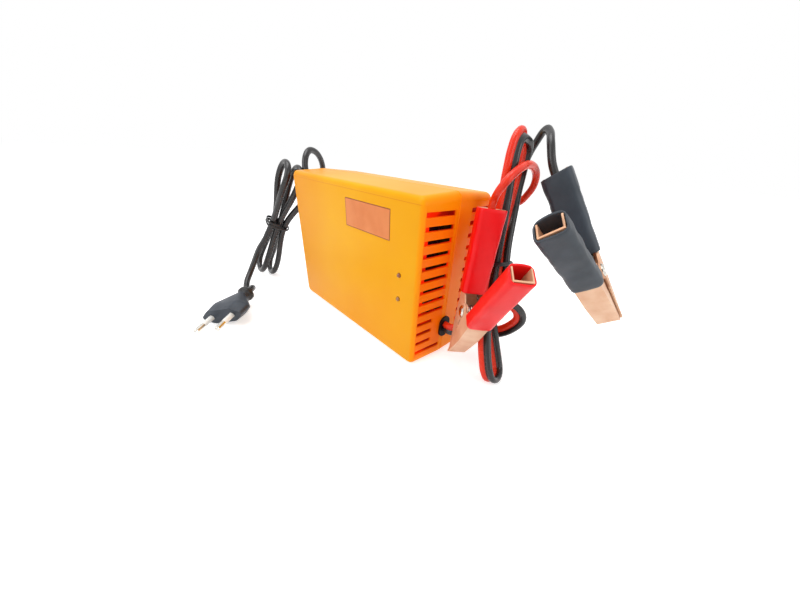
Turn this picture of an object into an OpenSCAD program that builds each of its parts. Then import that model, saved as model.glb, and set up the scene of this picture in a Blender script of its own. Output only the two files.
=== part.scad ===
// Car battery charger: a two-part plastic case on its long edge, a mains lead with a
// flat two-pin plug, and a twin output lead that ends in two sprung battery clamps.
// +Z is up, +X points at the end that the output lead leaves, and the front face looks
// along -Y. The origin is the middle of the case's base.

/* [Case] */
// Width of the case across its ends, at the seam
case_w = 160; // [148:1:190]
// Height of the case at the seam
case_h = 112; // [110:1:124]
// Depth of the front cover, from its face to the seam
front_depth = 28; // [26:1:34]
// Depth of the rear cover, from the seam to its face
rear_depth = 36; // [34:1:46]
// Wall of both covers
wall = 2.2; // [1.6:0.1:2.8]
// How far the top and the ends lean in towards each face
draft = 2; // [0:0.1:3]
// Radius of the case's four long corners
corner_r = 5; // [4.2:0.1:7]
// Radius of the edges round the front and rear faces
edge_r = 3; // [1.5:0.1:3.6]
// Length of the tongue that locates the two covers on each other
tongue_l = 2; // [1.2:0.1:3]
// Clearance between the tongue and the rear cover
tongue_gap = 0.15; // [0.1:0.05:0.3]

/* [Vents] */
// Number of vent rows on each end of the case
vent_rows = 13; // [8:1:13]
// Distance from one vent row to the next
vent_pitch = 7.6; // [6:0.1:7.6]
// Height of one vent slot
vent_h = 2.9; // [1.6:0.1:3.6]
// Distance from the top of the case to the first vent row
vent_top = 11; // [9:0.5:12]
// Land between a vent and the front face
vent_front_land = 2.6; // [1.8:0.1:5]
// Land between a front vent and the seam
vent_seam_land = 2.7; // [2.4:0.1:5]
// Land between the seam and a rear vent
vent_rear_start = 13.2; // [10:0.1:16]
// Land between a rear vent and the rear face
vent_rear_land = 3; // [2:0.1:6]
// Length of the front vents beside a gland
vent_short_l = 13.4; // [6:0.1:13.4]

/* [Label and lights] */
// Width of the bare label plate
label_w = 48; // [30:0.5:52]
// Height of the bare label plate
label_h = 18.3; // [10:0.1:20]
// Distance from the middle of the case to the middle of the label
label_x = 27.4; // [20:0.1:36]
// Distance from the top of the case to the middle of the label
label_top = 21.1; // [19:0.1:32]
// Thickness of the label plate
label_t = 0.5; // [0.4:0.05:0.8]
// Depth of the label's recess
label_recess = 0.4; // [0.3:0.05:0.6]
// Clearance round the label plate
label_gap = 0.15; // [0.1:0.05:0.3]
// Distance from the middle of the case to the two lights
light_x = 61.4; // [50:0.1:64]
// Height of the lower light above the base
light_z = 46.3; // [38:0.1:54]
// Distance from the lower light to the upper light
light_pitch = 16.4; // [12:0.1:20]
// Diameter of each light
light_d = 3; // [3:0.5:5]
// Clearance round a light in its hole
light_gap = 0.2; // [0.1:0.05:0.4]
// Distance from the front wall to the indicator board
light_board_gap = 7; // [6:0.5:9]

/* [Screws] */
// Distance from each end of the case to a case screw
screw_inset = 10; // [9.5:0.5:14]
// Height of the lower case screws above the base
screw_low = 12; // [9:0.5:14]
// Distance from the top of the case to the upper case screws
screw_top = 12; // [10:0.5:16]
// Diameter of a case screw
screw_d = 3; // [2.5:0.1:3.6]
// Length of a case screw under its head
screw_l = 16; // [12:1:20]
// Diameter of a case screw's head
screw_head_d = 5.8; // [5:0.1:6.4]
// Height of a case screw's head
screw_head_h = 2.4; // [1.6:0.1:3]
// Clearance between a screw and its hole
screw_gap = 0.1; // [0.05:0.01:0.2]
// Plastic under a case screw's head in the rear cover
screw_seat = 6; // [3:0.5:8]
// Wall of a screw boss
boss_wall = 1.3; // [1:0.1:1.8]

/* [Circuit board] */
// Width of the main board
board_w = 118; // [110:1:120]
// Height of the main board
board_h = 88; // [84:1:88]
// Thickness of both circuit boards
board_t = 1.6; // [1:0.1:2.4]
// Height of the posts that carry the main board
standoff_h = 12; // [9:0.5:14]
// Diameter of the posts that carry a board
standoff_d = 7; // [6:0.1:8]
// Distance from the board's edge to the middle of a post
standoff_inset = 5; // [4.5:0.1:6]
// Length of a board screw under its head
board_screw_l = 8; // [6:0.5:9]
// Width of the indicator board
light_board_w = 14; // [12:0.5:16]
// Height of the indicator board
light_board_h = 36; // [34:0.5:42]

/* [Mains lead] */
// Diameter of the mains lead
mains_d = 5.4; // [5.4:0.1:5.4]
// Height of both glands above the base
gland_z = 24; // [24:1:24]
// Diameter of the strain relief where it leaves the case
relief_d = 9.6; // [8.5:0.1:10.5]
// Length of the strain relief outside the case
relief_l = 26; // [26:1:26]
// Radius of the end folds of the mains hank
hank_r = 11; // [11:1:11]
// Length of the drawn-in runs of the mains hank
hank_run = 98; // [98:1:98]
// Distance from one layer of the mains hank to the next at its waist
hank_pitch = 6; // [5.9:0.1:6.2]
// Distance from one layer of the mains hank to the next at its folds
hank_fan = 11; // [10:0.5:11]
// Diameter of the tie wires
tie_d = 1.8; // [1.2:0.1:2]

/* [Plug] */
// Width of the plug's body
plug_w = 35.3; // [33:0.1:37]
// Thickness of the plug's body
plug_t = 13.7; // [12:0.1:15]
// Length of the plug's body, with its collar
plug_l = 37; // [34:0.5:40]
// Diameter of the collar where the lead enters the plug
collar_d = 13; // [11:0.1:13.5]
// Diameter of a plug pin
pin_d = 4; // [3.8:0.1:4.2]
// Length of a plug pin
pin_l = 19; // [18:0.1:20]
// Distance between the two pins
pin_pitch = 18.6; // [17:0.1:19]
// Length of the insulated part of a pin
pin_sleeve_l = 10; // [8:0.5:11]

/* [Output lead] */
// Diameter of one core of the output lead
core_d = 4.3; // [4.3:0.1:4.3]
// Height of the output gland's oval face
gland_h = 16; // [14:0.5:18]
// Width of the output gland's oval face
gland_w = 10; // [9:0.5:10]
// How far the gland's rim stands out of the case
gland_rim = 1.2; // [0.8:0.1:1.2]
// Radius of the end folds of the output lead's fold
fold_r = 9; // [9:1:9]
// Length of the drawn-in runs of the output lead's fold
fold_run = 127; // [127:1:127]

/* [Battery clamps] */
// Length of a clamp's jaws below the pivot
jaw_l = 37.6; // [34:0.1:37.6]
// Width of a clamp's sheet metal channel
channel_w = 12.2; // [12:0.1:13]
// Depth of a handle's channel
channel_d = 7.4; // [7:0.1:8]
// Thickness of the clamp's sheet metal
sheet = 0.85; // [0.7:0.05:1]
// Clearance between the two halves of a clamp
half_gap = 0.4; // [0.3:0.05:0.5]
// Distance from the pivot to a handle's middle, sideways
handle_x = 13; // [12.5:0.1:14]
// Distance from the pivot to the start of a sleeve, upwards
handle_z = 5.2; // [4.8:0.1:6]
// Angle of a handle to the clamp's middle
handle_angle = 20.5; // [18:0.5:23]
// Length of a handle's sleeve
sleeve_l = 48; // [46:0.5:50]
// Wall of a handle's sleeve
sleeve_wall = 1.1; // [0.8:0.05:1.3]
// Clearance between a sleeve and its handle
sleeve_gap = 0.05; // [0.03:0.01:0.1]
// Distance from the clamp's middle to the bend of a jaw
bend_x = 11.2; // [10.5:0.1:12]
// Distance from the pivot down to the bend of a jaw
bend_z = 14; // [13:0.1:16]
// Thickness of a jaw at its tip
tip_t = 1.4; // [1.2:0.1:2]
// Radius of the ears round the pivot
ear_r = 4.7; // [4.3:0.1:5]
// Diameter of the rivet
rivet_d = 4.6; // [4:0.1:4.6]
// Clearance between the rivet and the ears
rivet_gap = 0.1; // [0.05:0.01:0.15]
// Diameter of a rivet's head
rivet_head_d = 7.4; // [6.8:0.1:8]
// Diameter of the spring's wire
spring_wire = 1.4; // [1.2:0.05:1.4]
// Number of teeth on each jaw
teeth = 9; // [6:1:9]

/* [Hidden] */

$fn = 48;
skin = 0.02;
over = 1;

// Places of the case's faces along Y
front_y = -(front_depth + rear_depth) / 2;
seam_y = front_y + front_depth;
rear_y = seam_y + rear_depth;
half_w = case_w / 2;
seam_chamfer = 0.4;
tongue_in = wall / 2 + tongue_gap / 2;
groove_in = wall / 2 - tongue_gap / 2;

// Case screws
screw_x = half_w - screw_inset;
screw_z = [screw_low, case_h - screw_top];
counterbore_d = screw_head_d + 1;
rear_boss_d = counterbore_d + 2 * boss_wall;
front_boss_d = screw_d + 2 * screw_gap + 2 * (boss_wall + 0.5);
screw_head_y = seam_y + screw_seat;
pilot_y = screw_head_y - screw_l - 1;
board_screw_d = screw_d - 0.6;

label_z = case_h - label_top;

// How far the gland and the strain relief reach into the case
gland_in = wall + 2.2;

// Boards
board_y = rear_y - wall - standoff_h - board_t;
board_z0 = (case_h - board_h) / 2;
board_left = -board_w / 2;
board_right = board_w / 2;
light_board_y = front_y + wall + light_board_gap;
light_mid_z = light_z + light_pitch / 2;
light_post_z = light_board_h / 2 - 3.2;
light_screw_l = 5;

// Diameter of a pin inside its insulation
pin_neck_d = pin_d - 1.2;
// Length of a pin inside the plug's body
pin_root = 6;

function unit(v) = v / norm(v);
function ease(t) = (1 - cos(180 * t)) / 2;
function lean(y) = y < seam_y ? (seam_y - y) / front_depth : (y - seam_y) / rear_depth;

// ---------------------------------------------------------------- swept tubes

function tangent(p, i) =
    i == 0 ? unit(p[1] - p[0])
    : i == len(p) - 1 ? unit(p[i] - p[i - 1])
    : unit(p[i + 1] - p[i - 1]);

function round_section(d, sides) =
    [for (k = [0:sides - 1]) d / 2 * [cos(360 * k / sides), sin(360 * k / sides)]];

// Two round cores side by side, with the groove between them
function twin_section(d) =
    let (r = d / 2)
    [
        for (a = [-90:45:90]) [r + r * cos(a), r * sin(a)],
        [0, 0.72 * r],
        for (a = [90:45:270]) [-r + r * cos(a), r * sin(a)],
        [0, -0.72 * r],
    ];

function flat_section(d) =
    [[d, 0], [d / 2, d / 2], [-d / 2, d / 2], [-d, 0], [-d / 2, -d / 2], [d / 2, -d / 2]];

// A tube through the points. The section's first axis follows across[i] at point i.
module tube(points, section, across) {
    n = len(section);
    m = len(points);
    rings = [
        for (i = [0:m - 1])
            let (
                t = tangent(points, i),
                w = unit(across[i] - (across[i] * t) * t),
                h = cross(t, w)
            )
            for (s = section) points[i] + s[0] * w + s[1] * h
    ];
    sides = [
        for (i = [0:m - 2], j = [0:n - 1])
            let (a = i * n + j, b = i * n + (j + 1) % n)
            each [[a, a + n, b + n], [a, b + n, b]]
    ];
    last = (m - 1) * n;
    caps = [for (j = [1:n - 2]) each [[0, j, j + 1], [last, last + j + 1, last + j]]];
    polyhedron(points = rings, faces = concat(sides, caps), convexity = 10);
}

function same(v, count) = [for (i = [1:count]) v];
function blend(a, b, count) =
    [for (i = [0:count - 1]) let (t = i / (count - 1)) (1 - t) * a + t * b];

// Least distance between points of a path that lie at least `apart` along it
function least_gap(p, step, apart, size) =
    min([
        for (i = [0:len(p) - 1], j = [i + ceil(apart / step):1:len(p) - 1])
            norm(p[i] - p[j]) - size
    ]);

// A point of a hank, `s` along its loops. Each loop is two runs along z, joined by half
// turns of radius r, and drawn in to +-waist in the middle. Each climb is along a run.
function hank_point(s, run, r, waist, pitch, fan, middle, bow) =
    let (
        turn = PI * r,
        loop = 2 * (run + turn),
        k = floor(s / loop),
        q = s - k * loop,
        up = q < run,
        top = !up && q < run + turn,
        down = !up && !top && q < 2 * run + turn,
        a = top ? (q - run) / turn * 180 : (q - 2 * run - turn) / turn * 180,
        z = up ? q - run / 2
            : top ? run / 2 + r * sin(a)
            : down ? run / 2 - (q - run - turn)
            : -run / 2 - r * sin(a),
        out = ease(min(1, abs(z) / (run / 2))),
        half = waist + (r - waist) * out,
        x = up ? half : top ? r * cos(a) : down ? -half : -r * cos(a),
        layer = up || top ? k : down ? k + ease((q - run - turn) / run) : k + 1,
        bend = 1 - pow(z / (run / 2 + r), 2)
    )
    [
        x + bow[0] * bend,
        (layer - middle) * (pitch + (fan - pitch) * out) + bow[1] * bend,
        z,
    ];

// ---------------------------------------------------------------- places of the leads

// Turns a vector as rotate([a, b, c]) does
function turned(r, v) =
    let (
        x = [v[0], v[1] * cos(r[0]) - v[2] * sin(r[0]), v[1] * sin(r[0]) + v[2] * cos(r[0])],
        y = [x[0] * cos(r[1]) + x[2] * sin(r[1]), x[1], x[2] * cos(r[1]) - x[0] * sin(r[1])]
    )
    [y[0] * cos(r[2]) - y[1] * sin(r[2]), y[0] * sin(r[2]) + y[1] * cos(r[2]), y[2]];

// Clamps: where each pivot is, and how the clamp lies
red_at = [105.6, -11, 49.2];
red_turn = [-4, 15, -41];
black_at = [146.5, 33.4, 76.8];
black_turn = [38, 16.5, -63.5];

// Along a handle from the start of its sleeve, and out from its middle line
function handle_xz(s, n) = [
    handle_x + s * sin(handle_angle) + n * cos(handle_angle),
    handle_z + s * cos(handle_angle) - n * sin(handle_angle),
];
half_shift = (sheet + half_gap) / 2;
handle_proud = 0.2;
handle_l = sleeve_l + handle_proud;
wire_out_s = handle_l + 4;
crimp_s = 27;
crimp_l = 8;
crimp_r = core_d / 2 + 0.7;
wire_n = channel_d / 2 - sheet - crimp_r + 0.1;
function wire_in_clamp(s) = let (p = handle_xz(s, wire_n)) [-p[0], half_shift, p[1]];
function red_wire_at(s) = red_at + turned(red_turn, wire_in_clamp(s));
function black_wire_at(s) = black_at + turned(black_turn, wire_in_clamp(s));

// Mains hank: it stands on its lower folds and leans on the case's left end
hank_at = [-121, -36, 58.5];
hank_turn = [24, -22, 166];
hank_waist = 3.1;
hank_loop = 2 * (hank_run + PI * hank_r);
hank_end = 2 * hank_loop + 0.62 * hank_run;
hank_steps = 58;
function mains_hank_at(s) =
    let (p = hank_point(s, hank_run, hank_r, hank_waist, hank_pitch, hank_fan, 1, [0, 0]))
    hank_at + turned(hank_turn, [-p[0], p[1], -p[2]]);

// Output lead's fold: one loop and a half of the flat twin lead
fold_at = [108.2, 14.1, 71.3];
fold_turn = [-15, 13, 98];
fold_waist = 2.7;
fold_pitch = 2 * core_d + 0.5;
fold_bow = [2, 9];
fold_loop = 2 * (fold_run + PI * fold_r);
fold_start = 0.42 * fold_run;
fold_end = fold_loop + 0.78 * fold_run;
fold_steps = 34;
function fold_point_at(s) =
    let (p = hank_point(s, fold_run, fold_r, fold_waist, fold_pitch, fold_pitch, 0.5, fold_bow))
    fold_at + turned(fold_turn, p);
fold_wide = turned(fold_turn, [0, 1, 0]);

hank_points = [for (i = [0:hank_steps]) mains_hank_at(hank_end * i / hank_steps)];
fold_points = [
    for (i = [0:fold_steps]) fold_point_at(fold_start + (fold_end - fold_start) * i / fold_steps)
];
hank_in = unit(hank_points[1] - hank_points[0]);
hank_out = unit(hank_points[hank_steps] - hank_points[hank_steps - 1]);
fold_in = unit(fold_points[1] - fold_points[0]);
fold_out = unit(fold_points[fold_steps] - fold_points[fold_steps - 1]);

// Where the mains lead leaves its strain relief, and where it enters the plug
relief_out = [-half_w - relief_l, seam_y, gland_z];
plug_at = [-79, -87.5, 0];
plug_yaw = 42;
plug_roll = 15;
plug_pitch = 6;
plug_core_x = 0.24 * plug_w;
plug_end_t = plug_t - 1.6;
plug_rest = plug_core_x * sin(plug_roll) + plug_end_t / 2 + plug_l * sin(plug_pitch);
plug_in = plug_at + [0, 0, plug_rest];
plug_dir = turned([90 + plug_pitch, 0, plug_yaw], [0, 0, 1]);

mains_lead_points = concat(
    [relief_out, relief_out - [mains_d, 0, 0]],
    [
        [-121, -3, 26.5], [-129, 0, 36], [-132, 4, 49], [-131, 9, 63], [-128, 13, 77],
        [-123, 16, 91], [-117, 17, 104], [-112, 14, 115], [-107, 7, 122.5],
        [-102, -2, 124.5], [-97, -9, 120], [-93.5, -12.5, 110.5],
    ],
    [hank_points[0] - mains_d * hank_in, hank_points[0]]
);
mains_tail_points = concat(
    [hank_points[hank_steps], hank_points[hank_steps] + mains_d * hank_out],
    [
        [-128, -57, 33], [-127, -64, 22], [-123, -71.5, 12.5], [-116, -78, 6.5],
        [-107, -81.5, 3.4], [-98, -80.5, 5.6], [-90, -80, 10.5],
    ],
    [plug_in - mains_d * plug_dir, plug_in]
);
output_lead_points = concat(
    [[half_w + gland_rim, seam_y, gland_z], [half_w + gland_rim + core_d, seam_y, gland_z]],
    [
        [89.6, -1.8, 24], [92, 3.5, 23], [94.5, 9.5, 21.5], [98, 15.5, 20.5], [104, 20.5, 21],
        [111, 23.5, 24.5], [117, 24.5, 31], [120.5, 24, 38], [120, 22.5, 43],
        [117.8, 19.6, 47], [114.2, 17.2, 49.3], [110.7, 15.9, 51.6],
    ],
    [fold_points[0] - core_d * fold_in, fold_points[0]]
);
output_end = fold_points[fold_steps];
core_part = 0.2;
split_side = (core_d / 2 + core_part) * unit(fold_wide - (fold_wide * fold_out) * fold_out);
red_lead_points = concat(
    [output_end + split_side, output_end + split_side + core_d * fold_out],
    [
        [81.6, 30.5, 108.3], [82.2, 36, 108], [84.8, 40, 106], [88, 41.8, 104.8],
        [92, 42, 106.3], [95.5, 41.5, 110.5], [98, 41.5, 115.5], [99, 40, 120.5],
        [99.3, 36, 124.5], [100.3, 25, 127], [102, 11, 124.5], [101.8, 3, 120], [98.8, 1.5, 114.5],
    ],
    [red_wire_at(wire_out_s), red_wire_at(crimp_s + crimp_l)]
);
black_lead_points = concat(
    [output_end - split_side, output_end - split_side + core_d * fold_out],
    [
        [86.3, 32.8, 111.5], [86, 38, 117], [86, 43, 122.5], [86, 47.5, 127.5], [87, 49.5, 134],
        [89.5, 49, 139], [92, 48.5, 143.5], [95, 46.5, 145], [99, 43, 143], [103.5, 37, 138],
    ],
    [black_wire_at(wire_out_s), black_wire_at(crimp_s + crimp_l)]
);

union() {
    echo(mains_hank_gap = least_gap(
        [for (s = [0:4:hank_end]) mains_hank_at(s)], 4, 40, mains_d));
    echo(output_fold_gap = min([
        for (s = [fold_start:4:fold_end - fold_loop / 2], k = [s + fold_loop / 2:4:fold_end])
            let (
                a = hank_point(s, fold_run, fold_r, fold_waist, fold_pitch, fold_pitch, 0, [0, 0]),
                b = hank_point(k, fold_run, fold_r, fold_waist, fold_pitch, fold_pitch, 0, [0, 0])
            )
            if (abs(a[2] - b[2]) < core_d)
                max(abs(a[0] - b[0]) - core_d, abs(a[1] - b[1]) - 2 * core_d)
    ]));
    echo(lowest = min([for (p = concat(hank_points, mains_tail_points)) p[2] - mains_d / 2]),
        lowest_fold = min([for (p = concat(fold_points, output_lead_points)) p[2] - core_d / 2]));
    echo(hank_from = hank_points[0], hank_in = hank_in, hank_to = hank_points[hank_steps],
        hank_out = hank_out);
    echo(fold_from = fold_points[0], fold_in = fold_in, fold_to = output_end,
        fold_out = fold_out, split_side = split_side);
    echo(red_wire = red_wire_at(wire_out_s), red_wire_in = red_wire_at(crimp_s + crimp_l),
        black_wire = black_wire_at(wire_out_s));
    echo(plug_in = plug_in, plug_dir = plug_dir);
}

// ---------------------------------------------------------------- shared shapes

// Four corner pegs of the case's outline at depth y, set in by `inset`
module outline(y, inset, r) {
    for (sx = [-1, 1], z = [inset + r, case_h - draft * lean(y) - inset - r])
        translate([sx * (half_w - draft * lean(y) - inset - r), y, z])
            rotate([90, 0, 0]) cylinder(r = r, h = skin, center = true, $fn = 32);
}

// A peg along X with flat sides and round ends, w wide along Y and h tall
module stadium(w, h, l) {
    r = w / 2;
    for (z = [-1, 1])
        translate([0, 0, z * (h / 2 - r)]) rotate([0, 90, 0]) cylinder(r = r, h = l);
    translate([0, -r, -(h / 2 - r)]) cube([l, w, h - w]);
}

module round_rect(w, h, r) {
    for (x = [-1, 1], y = [-1, 1])
        translate([x * (w / 2 - r), y * (h / 2 - r)]) circle(r = r);
    square([w - 2 * r, h], center = true);
    square([w, h - 2 * r], center = true);
}

// Children stand on the main board's front, x from its middle and z from its lower edge,
// their +Z towards the front
module on_board(x, z) {
    translate([x, board_y, board_z0 + z]) rotate([90, 0, 0]) children();
}

module leg(x, y, h, d = 0.8) {
    translate([x, y, 0]) cylinder(d = d, h = h, $fn = 16);
}

// ---------------------------------------------------------------- case

// Side is -1 for the front cover and 1 for the rear cover
module cover_solid(side, depth) {
    face = seam_y + side * depth;
    hull() {
        outline(seam_y + side * skin / 2, seam_chamfer, corner_r - seam_chamfer);
        outline(seam_y + side * seam_chamfer, 0, corner_r);
        for (a = [0:30:90])
            outline(face - side * (edge_r * (1 - sin(a)) + skin / 2),
                edge_r * (1 - cos(a)), corner_r - edge_r * (1 - cos(a)));
    }
}

module cover_hollow(side, depth) {
    r = max(corner_r - wall, 1);
    hull() {
        outline(seam_y - side * over, wall, r);
        outline(seam_y + side * (depth - wall), wall, r);
    }
}

module vent_cuts(y0, y1, short) {
    for (i = [0:vent_rows - 1]) {
        z = case_h - vent_top - vent_pitch * i;
        near = abs(z - gland_z) < gland_h / 2 + 2;
        stop = near && short ? y0 + vent_short_l : y1;
        for (sx = [-1, 1])
            translate([sx * (half_w - wall / 2) - (wall + draft + over) / 2, y0, z - vent_h / 2])
                cube([wall + draft + over, stop - y0, vent_h]);
    }
}

module gland_cuts(gap) {
    translate([half_w - wall - over, seam_y, gland_z])
        stadium(gland_w - 2 + 2 * gap, gland_h - 2 + 2 * gap, wall + 2 * over);
    translate([-half_w - over, seam_y, gland_z])
        rotate([0, 90, 0]) cylinder(d = relief_d + 2 * gap, h = wall + 2 * over);
}

module front_cover() {
    color([1, 0.66, 0.05]) {
        difference() {
            cover_solid(-1, front_depth);
            cover_hollow(-1, front_depth);
            vent_cuts(front_y + vent_front_land, seam_y - vent_seam_land, true);
            gland_cuts(tongue_gap);
            translate([label_x - label_w / 2 - label_gap, front_y - over,
                    label_z - label_h / 2 - label_gap])
                cube([label_w + 2 * label_gap, over + label_recess, label_h + 2 * label_gap]);
            for (i = [0, 1])
                translate([light_x, front_y + wall + over, light_z + i * light_pitch])
                    rotate([90, 0, 0])
                        cylinder(d = light_d + 2 * light_gap, h = wall + 2 * over);
        }
        // Tongue that slides inside the rear cover
        difference() {
            hull() {
                outline(seam_y - over, tongue_in, max(corner_r - tongue_in, 1));
                outline(seam_y + tongue_l, tongue_in, max(corner_r - tongue_in, 1));
            }
            hull() {
                outline(seam_y - 2 * over, wall, max(corner_r - wall, 1));
                outline(seam_y + tongue_l + over, wall, max(corner_r - wall, 1));
            }
            gland_cuts(over);
        }
        for (sx = [-1, 1], z = screw_z)
            translate([sx * screw_x, 0, z])
                difference() {
                    translate([0, seam_y, 0]) rotate([90, 0, 0])
                        cylinder(d = front_boss_d, h = front_depth - wall + skin);
                    translate([0, seam_y + over, 0]) rotate([90, 0, 0])
                        cylinder(d = screw_d + 2 * screw_gap, h = seam_y + over - pilot_y);
                }
        // Posts that carry the indicator board
        for (s = [-1, 1])
            translate([light_x, 0, light_mid_z + s * light_post_z])
                difference() {
                    translate([0, light_board_y, 0]) rotate([90, 0, 0])
                        cylinder(d = standoff_d - 1.5, h = light_board_gap + skin);
                    translate([0, light_board_y + over, 0]) rotate([90, 0, 0])
                        cylinder(d = board_screw_d + 2 * screw_gap, h = light_board_gap + over - 1.2);
                }
    }
}

module rear_cover() {
    color([1, 0.66, 0.05]) {
        difference() {
            cover_solid(1, rear_depth);
            cover_hollow(1, rear_depth);
            hull() {
                outline(seam_y - over, groove_in, max(corner_r - groove_in, 1));
                outline(seam_y + tongue_l + tongue_gap, groove_in,
                    max(corner_r - groove_in, 1));
            }
            vent_cuts(seam_y + vent_rear_start, rear_y - vent_rear_land, false);
            gland_cuts(tongue_gap);
            for (sx = [-1, 1], z = screw_z)
                translate([sx * screw_x, rear_y + over, z]) rotate([90, 0, 0])
                    cylinder(d = counterbore_d, h = rear_y + over - screw_head_y);
        }
        for (sx = [-1, 1], z = screw_z)
            translate([sx * screw_x, 0, z])
                difference() {
                    translate([0, rear_y - wall + skin, 0]) rotate([90, 0, 0])
                        cylinder(d = rear_boss_d, h = rear_y - wall + skin - seam_y - tongue_gap);
                    translate([0, rear_y + over, 0]) rotate([90, 0, 0])
                        cylinder(d = counterbore_d, h = rear_y + over - screw_head_y);
                    translate([0, rear_y, 0]) rotate([90, 0, 0])
                        cylinder(d = screw_d + 4 * screw_gap, h = rear_depth + over);
                }
        // Posts that carry the main board
        for (sx = [-1, 1], sz = [-1, 1])
            translate([sx * (board_w / 2 - standoff_inset), 0,
                    case_h / 2 + sz * (board_h / 2 - standoff_inset)])
                difference() {
                    translate([0, rear_y - wall + skin, 0]) rotate([90, 0, 0])
                        cylinder(d = standoff_d, h = standoff_h + skin);
                    translate([0, rear_y - wall - 1, 0]) rotate([90, 0, 0])
                        cylinder(d = board_screw_d + 2 * screw_gap, h = standoff_h);
                }
    }
}

module screw(d, l, head_d, head_h) {
    rotate([90, 0, 0]) cylinder(d = d, h = l);
    difference() {
        translate([0, skin, 0]) rotate([-90, 0, 0]) cylinder(d = head_d, h = head_h - skin);
        for (a = [0, 90])
            rotate([0, a, 0]) translate([-head_d / 3, head_h - 1, -0.35])
                cube([head_d / 1.5, over + 1, 0.7]);
    }
    rotate([90, 0, 0]) cylinder(d = d, h = 2 * skin, center = true);
}

module case_screws() {
    color([0.72, 0.72, 0.74])
        for (sx = [-1, 1], z = screw_z)
            translate([sx * screw_x, screw_head_y, z])
                screw(screw_d, screw_l, screw_head_d, screw_head_h);
}

module label_plate() {
    color([0.93, 0.5, 0.3])
        translate([label_x, front_y + label_recess, label_z]) rotate([90, 0, 0])
            linear_extrude(label_t) round_rect(label_w, label_h, 0.8);
}

// ---------------------------------------------------------------- lights and boards

module light(i) {
    r = light_d / 2;
    translate([light_x, light_board_y, light_z + i * light_pitch]) rotate([90, 0, 0]) {
        for (x = [-0.7, 0.7]) leg(x, 0, light_board_gap - 0.6, 0.5);
        translate([0, 0, light_board_gap - 1.2]) {
            cylinder(r = r + 0.5, h = 1);
            cylinder(r = r, h = wall + 1.2);
            translate([0, 0, wall + 1.2]) intersection() {
                sphere(r = r);
                cylinder(r = r, h = r);
            }
        }
    }
}

module power_led() {
    color([0.75, 0.1, 0.08]) light(1);
}

module charge_led() {
    color([0.1, 0.45, 0.15]) light(0);
}

module indicator_board() {
    color([0.1, 0.4, 0.2])
        difference() {
            translate([light_x - light_board_w / 2, light_board_y,
                    light_mid_z - light_board_h / 2])
                cube([light_board_w, board_t, light_board_h]);
            for (s = [-1, 1])
                translate([light_x, light_board_y - over, light_mid_z + s * light_post_z])
                    rotate([-90, 0, 0])
                        cylinder(d = board_screw_d + 4 * screw_gap, h = board_t + 2 * over);
        }
}

module indicator_wires() {
    d = 1.2;
    y0 = light_board_y + board_t;
    color([0.9, 0.9, 0.85])
        for (i = [-1:1]) {
            x0 = light_x - 2 + i * 1.9;
            z0 = light_mid_z + 2 * i;
            x1 = board_right - 4.5 + i * 1.9;
            z1 = board_z0 + 40 + 2 * i;
            route = [
                [x0, y0, z0], [x0, y0 + 2, z0], [(3 * x0 + x1) / 4, y0 + 7, z0 + 1],
                [(x0 + x1) / 2, y0 + 15, (z0 + z1) / 2 + 2], [(x0 + 3 * x1) / 4, y0 + 24, z1 + 2],
                [x1, board_y - 6, z1], [x1, board_y - 2, z1], [x1, board_y, z1],
            ];
            tube(route, round_section(d, 8), same([1, 0, 0], len(route)));
        }
}

module main_board() {
    color([0.12, 0.42, 0.22])
        difference() {
            translate([-board_w / 2, board_y, board_z0]) cube([board_w, board_t, board_h]);
            for (sx = [-1, 1], sz = [-1, 1])
                translate([sx * (board_w / 2 - standoff_inset), board_y - over,
                        case_h / 2 + sz * (board_h / 2 - standoff_inset)])
                    rotate([-90, 0, 0])
                        cylinder(d = board_screw_d + 4 * screw_gap, h = board_t + 2 * over);
        }
}

module board_screws() {
    color([0.75, 0.75, 0.77]) {
        for (sx = [-1, 1], sz = [-1, 1])
            translate([sx * (board_w / 2 - standoff_inset), board_y,
                    case_h / 2 + sz * (board_h / 2 - standoff_inset)])
                rotate([0, 0, 180]) screw(board_screw_d, board_screw_l, 4.8, 1.8);
        for (s = [-1, 1])
            translate([light_x, light_board_y + board_t, light_mid_z + s * light_post_z])
                screw(board_screw_d, light_screw_l, 4.2, 1.6);
    }
}

// ---------------------------------------------------------------- parts on the main board

core_w = 34;
core_t = 15;
core_h = 33;
core_leg = 5.5;
core_mid = 11;
core_x = 4;
core_z = 52;
core_foot = 3;

// Parts near the board's ends keep their place from that end
mains_cap_d = 22;
mains_cap_h = 34;
mains_cap_x = board_left + 22;
mains_cap_z = 28;
output_cap_d = 10;
output_cap_h = 20;
output_cap_pitch = 11.5;
output_cap_x = board_right - 13;
output_cap_z = 50;
bridge_w = 16;
bridge_h = 12;
bridge_t = 4;
bridge_x = board_left + 9;
bridge_z = 53;
leg_h = 4;
input_choke_w = 18;
input_choke_d = 8.6;
input_choke_h = 13;
input_choke_x = board_left + 35;
input_choke_z = 72;
choke_r = 7.5;
choke_ring_w = 4.6;
choke_ring_h = 6.4;
choke_out = 12.2;
choke_x = 19;
choke_z = 28;
chip_w = 19.2;
chip_d = 6.4;
chip_h = 3.4;
chip_x = 10;
chip_z = 78;
filter_w = 17;
filter_t = 8;
filter_h = 13;
filter_x = board_left + 13;
filter_z = 72;

module transformer_core() {
    window = (core_w - 2 * core_leg - core_mid) / 2;
    color([0.22, 0.22, 0.24])
        on_board(core_x, core_z) translate([0, 0, core_foot])
            difference() {
                translate([-core_w / 2, -core_t / 2, 0]) cube([core_w, core_t, core_h]);
                for (s = [-1, 1])
                    translate([s * (core_mid + window) / 2 - window / 2, -core_t, core_leg])
                        cube([window, 2 * core_t, core_h - 2 * core_leg]);
            }
}

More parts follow.
